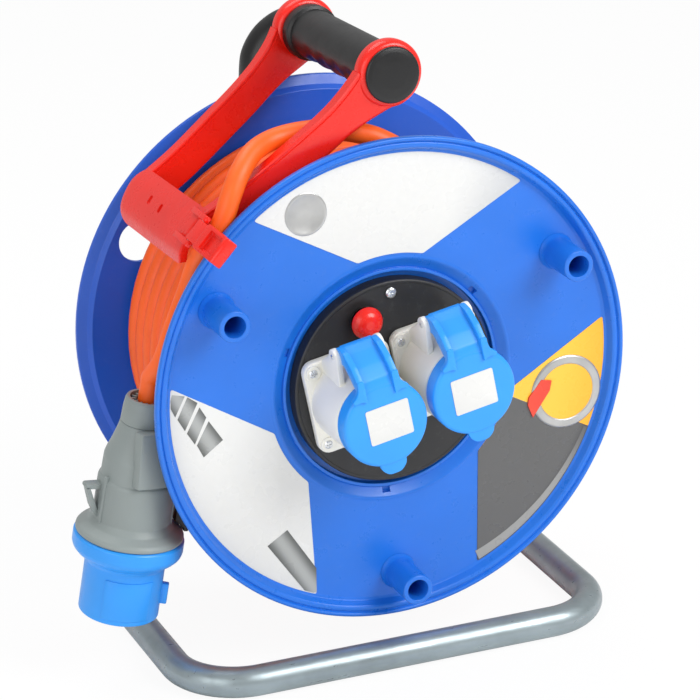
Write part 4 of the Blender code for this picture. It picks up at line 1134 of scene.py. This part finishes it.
class REEL_OT_plug(bpy.types.Operator):
    """Makes the plug: gland nut, grey housing with hook and clamp, blue collar and pins"""
    bl_idname = "reel.plug"
    bl_label = "Plug"

    def execute(self, context):
        steps = context.scene.reel_sizes.small_steps
        nut = [(10.4, -7.4), (12.2, -7.4), (13.0, -6.0), (13.7, -1.0), (14.1, 7.2), (10.4, 7.2)]
        finished("plug_nut", turned(nut, steps, 0.3), PLUG, "plug", "bail", "plug_gland_nut")
        lining = turned([(6.3, -4.4), (10.5, -4.4), (10.5, 7), (6.3, 7)], steps, 0.3)
        finished("plug_nut_lining", lining, PLUG, "black", "bail")
        tooth, teeth = block((1.2, 2.6, 3.0), (0, -5.0, 8.3), edge=0.3), 14
        turns = [PLUG @ Matrix.Rotation(math.tau * index / teeth, 4, "Y") for index in range(teeth)]
        spots = [(turn.translation, turn.to_euler()) for turn in turns]
        mesh = repeated_mesh("plug_castellations", tooth, spots, "plug")
        piece("plug_castellations", mesh, "plug", "bail")

        outline = [(0, 7.3), (14.0, 7.3), (15.0, 12), (17.5, 20), (19.8, 26), (20.6, 29),
                   (21.0, 40.6), (21.9, 41.4), (22.4, 43.0), (22.5, 66), (25.0, 69.5), (29.8, 72.6),
                   (31.2, 74.2), (31.2, 76), (0, 76)]
        plate = [(18, -44.6), (30.6, -45.2), (31.2, -46.4), (31.0, -47.6), (18, -47.6)]
        strut = [(28.6, -46.6), (30.8, -46.6), (26.4, -59.0), (23.2, -64.6), (18, -64.6),
                 (22.4, -60.6)]
        edge_on = tilt(90, "X")
        clamp = moved(block((26.0, 33, 9), (0, 25.2, 14.8), edge=1.8), tilt(-10) @ tilt(6, "X"))
        parts = [turned(outline, steps * 2, 0.7), clamp]
        parts += [moved(slab(rounded(web, 0.5), -3.5, 3.5, edge=0.5), edge_on)
                  for web in (plate, strut)]
        for angle, width in ((72, 2.2), (-62, 2.2), (150, 1.8), (-150, 1.8)):
            rib = block((width, 31, 3.4), (0, 54, 21.6), edge=0.6)
            parts.append(moved(rib, tilt(angle)))
        finished("plug_body", together(*parts), PLUG, "plug", "bail", "plug_housing")

        collar = [(0, 76.3), (30.6, 76.3), (32, 77.5), (32, 84), (31.2, 86.2), (29, 88.6),
                  (25.0, 91.0), (23.2, 94), (23.2, 125.2), (22.4, 126), (21.2, 126), (21.2, 92),
                  (0, 92)]
        key = moved(block((4.6, 12.8, 6.0), (0, 111, 23.9), edge=0.9), tilt(-66))
        arc = [polar(23.75, a) for a in range(44, 117, 6)]
        arc += [polar(22.0, a) for a in range(116, 43, -6)]
        panel = slab(flat(arc), 98.5, 122.5, edge=0.3)
        shroud = together(turned(collar, steps * 2, 0.6), key, panel)
        finished("plug_shroud", shroud, PLUG, "lid", "bail", "plug_collar")
        for name, angle in CONTACT_ANGLES.items():
            radius = 3.2 if name == "earth" else 2.4
            pin = [(0, 92.3), (radius, 92.3), (radius, 120.6), (radius - 1.2, 122.0), (0, 122.0)]
            pin, at = turned(pin, 32, 0.6), PLUG @ Matrix.Translation(polar(9.0, angle))
            finished(f"contact_{name}", pin, at, "brass", "bail", f"plug_{name}_pin")
        catch = [(-25.6, -62), (-25.6, -69.1), (-30.4, -72.2), (-31.7, -73.6), (-31.7, -75.5),
                 (-34.5, -75.5), (-34.5, -66), (-31, -62)]
        hook = moved(slab(rounded(catch, 0.8), -4, 4, edge=0.5), edge_on)
        finished("catch_block", hook, PLUG, "catch", "bail", "plug_catch")
        return {"FINISHED"}


class REEL_OT_hidden_parts(bpy.types.Operator):
    """Gives the frame's own inner parts their finishes"""
    bl_idname = "reel.hidden_parts"
    bl_label = "Inner parts"

    def execute(self, context):
        kept = {
            "steel": ("axle", "thrust_washer", "retaining_ring", "grip_rod", "left_lid_spring",
                      "right_lid_spring"),
            "black": ("barrel_gland", "cutout_case"),
            "brass": ("axle_bush",),
            "flange": ("drum_barrel",),
            "socket": ("terminal_block",),
        }
        for finish, nodes in kept.items():
            for node in nodes:
                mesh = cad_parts[node].data
                mesh.materials.clear()
                mesh.materials.append(FINISHES[finish])
        return {"FINISHED"}


# ---------------------------------------------------------------- stage

WHITE = (1.0, 1.0, 1.0, 1.0)
CAMERA_PLACE = Vector((-675.0, -1562.0, 672.0))


class REEL_OT_stage(bpy.types.Operator):
    """Sets the pale floor, the soft studio light and the camera"""
    bl_idname = "reel.stage"
    bl_label = "Stage"

    def lamp(self, name, size, power, at, towards):
        data = bpy.data.lights.new(name, "AREA")
        data.size = size
        data.energy = power
        obj = in_scene(name, data)
        obj.location = at
        obj.rotation_euler = (Vector(at) - Vector(towards)).to_track_quat("Z", "Y").to_euler()

    def execute(self, context):
        scene = context.scene
        scene.view_settings.view_transform = "Standard"

        half, drop = 9, -0.0004
        floor_mesh = bpy.data.meshes.new("floor")
        floor_mesh.from_pydata([(x * half, y * half, drop) for x, y in
                                ((-1, -1), (1, -1), (1, 1), (-1, 1))], [], [(0, 1, 2, 3)])
        floor = in_scene("floor", floor_mesh)
        paint, tree, shader, _ = blank("pale_floor")
        shader.inputs["Base Color"].default_value = (0.92, 0.92, 0.92, 1)
        shader.inputs["Roughness"].default_value = 0.7
        shader.inputs["Specular IOR Level"].default_value = 0.1
        glow = add(tree, "ShaderNodeEmission", "Emission", {"Color": WHITE})
        seen = add(tree, "ShaderNodeLightPath", "Is Camera Ray")
        joined = add(tree, "ShaderNodeMixShader", "Shader",
                     {"Fac": calculate(tree, "MULTIPLY", seen, 0.93), 1: shader.outputs["BSDF"],
                      2: glow})
        tree.links.new(joined, tree.nodes["Material Output"].inputs["Surface"])
        floor_mesh.materials.append(paint)

        # soft light from all sides, and a white backdrop that only the camera sees
        world = bpy.data.worlds.new("studio")
        scene.world = world
        world.use_nodes = True
        tree = world.node_tree
        ambient = tree.nodes["Background"]
        ambient.inputs["Color"].default_value = WHITE
        ambient.inputs["Strength"].default_value = 0.5
        backdrop = add(tree, "ShaderNodeBackground", "Background", {"Color": WHITE})
        rays = tree.nodes.new("ShaderNodeLightPath").outputs
        either = add(tree, "ShaderNodeMath", "Value",
                     {0: rays["Is Camera Ray"], 1: rays["Is Transmission Ray"]},
                     operation="MAXIMUM", use_clamp=True)
        mix = add(tree, "ShaderNodeMixShader", "Shader",
                  {"Fac": either, 1: ambient.outputs["Background"], 2: backdrop})
        tree.links.new(mix, tree.nodes["World Output"].inputs["Surface"])

        target = (0, 0, 0.17)
        self.lamp("key", 0.9, 22.0, (0.75, -1.15, 1.25), target)
        self.lamp("fill", 1.2, 9.0, (-1.4, -1.0, 0.7), target)
        self.lamp("top", 1.0, 10.0, (-0.2, 0.5, 1.6), target)

        azimuth, elevation, roll = (math.radians(angle) for angle in (22.49, 20.96, -0.75))
        ahead = Vector((math.sin(azimuth) * math.cos(elevation),
                        math.cos(azimuth) * math.cos(elevation), -math.sin(elevation)))
        right = Vector((math.cos(azimuth), -math.sin(azimuth), 0))
        up = right.cross(ahead)
        right, up = (right * math.cos(roll) + up * math.sin(roll),
                     up * math.cos(roll) - right * math.sin(roll))
        data = bpy.data.cameras.new("camera")
        data.lens = 165.3
        data.sensor_width = 36.0
        data.clip_start = 0.05
        camera = in_scene("camera", data)
        basis = Matrix((right, up, -ahead)).transposed().to_4x4()
        camera.matrix_world = Matrix.Translation(AXLE + CAMERA_PLACE * MM) @ basis
        scene.camera = camera
        return {"FINISHED"}


class REEL_PT_panel(bpy.types.Panel):
    """Lists the reel's operators and settings"""
    bl_idname = "REEL_PT_panel"
    bl_label = "Extension cord reel"
    bl_space_type = "VIEW_3D"
    bl_region_type = "UI"
    bl_category = "Cord Reel"

    def draw(self, context):
        layout = self.layout
        for step in STEPS:
            layout.operator(step.bl_idname)
        for group in (context.scene.reel_sizes, context.scene.reel_colours):
            for name in group.__annotations__:
                layout.prop(group, name)


STEPS = (REEL_OT_stage, REEL_OT_plug, REEL_OT_free_cable, REEL_OT_winding, REEL_OT_front_flange,
         REEL_OT_rear_flange, REEL_OT_pegs, REEL_OT_labels, REEL_OT_panel, REEL_OT_sockets,
         REEL_OT_lids, REEL_OT_stand, REEL_OT_handle, REEL_OT_bail, REEL_OT_clip,
         REEL_OT_hidden_parts)
CLASSES = (ReelSizes, ReelColours, *STEPS, REEL_PT_panel)


def register():
    for cls in CLASSES:
        bpy.utils.register_class(cls)
    bpy.types.Scene.reel_sizes = PointerProperty(type=ReelSizes)
    bpy.types.Scene.reel_colours = PointerProperty(type=ReelColours)


def unregister():
    del bpy.types.Scene.reel_colours
    del bpy.types.Scene.reel_sizes
    for cls in reversed(CLASSES):
        bpy.utils.unregister_class(cls)


def main():
    register()
    make_finishes(bpy.context.scene.reel_colours)
    for step in STEPS:
        group, name = step.bl_idname.split(".")
        getattr(getattr(bpy.ops, group), name)()


if __name__ == "__main__":
    main()
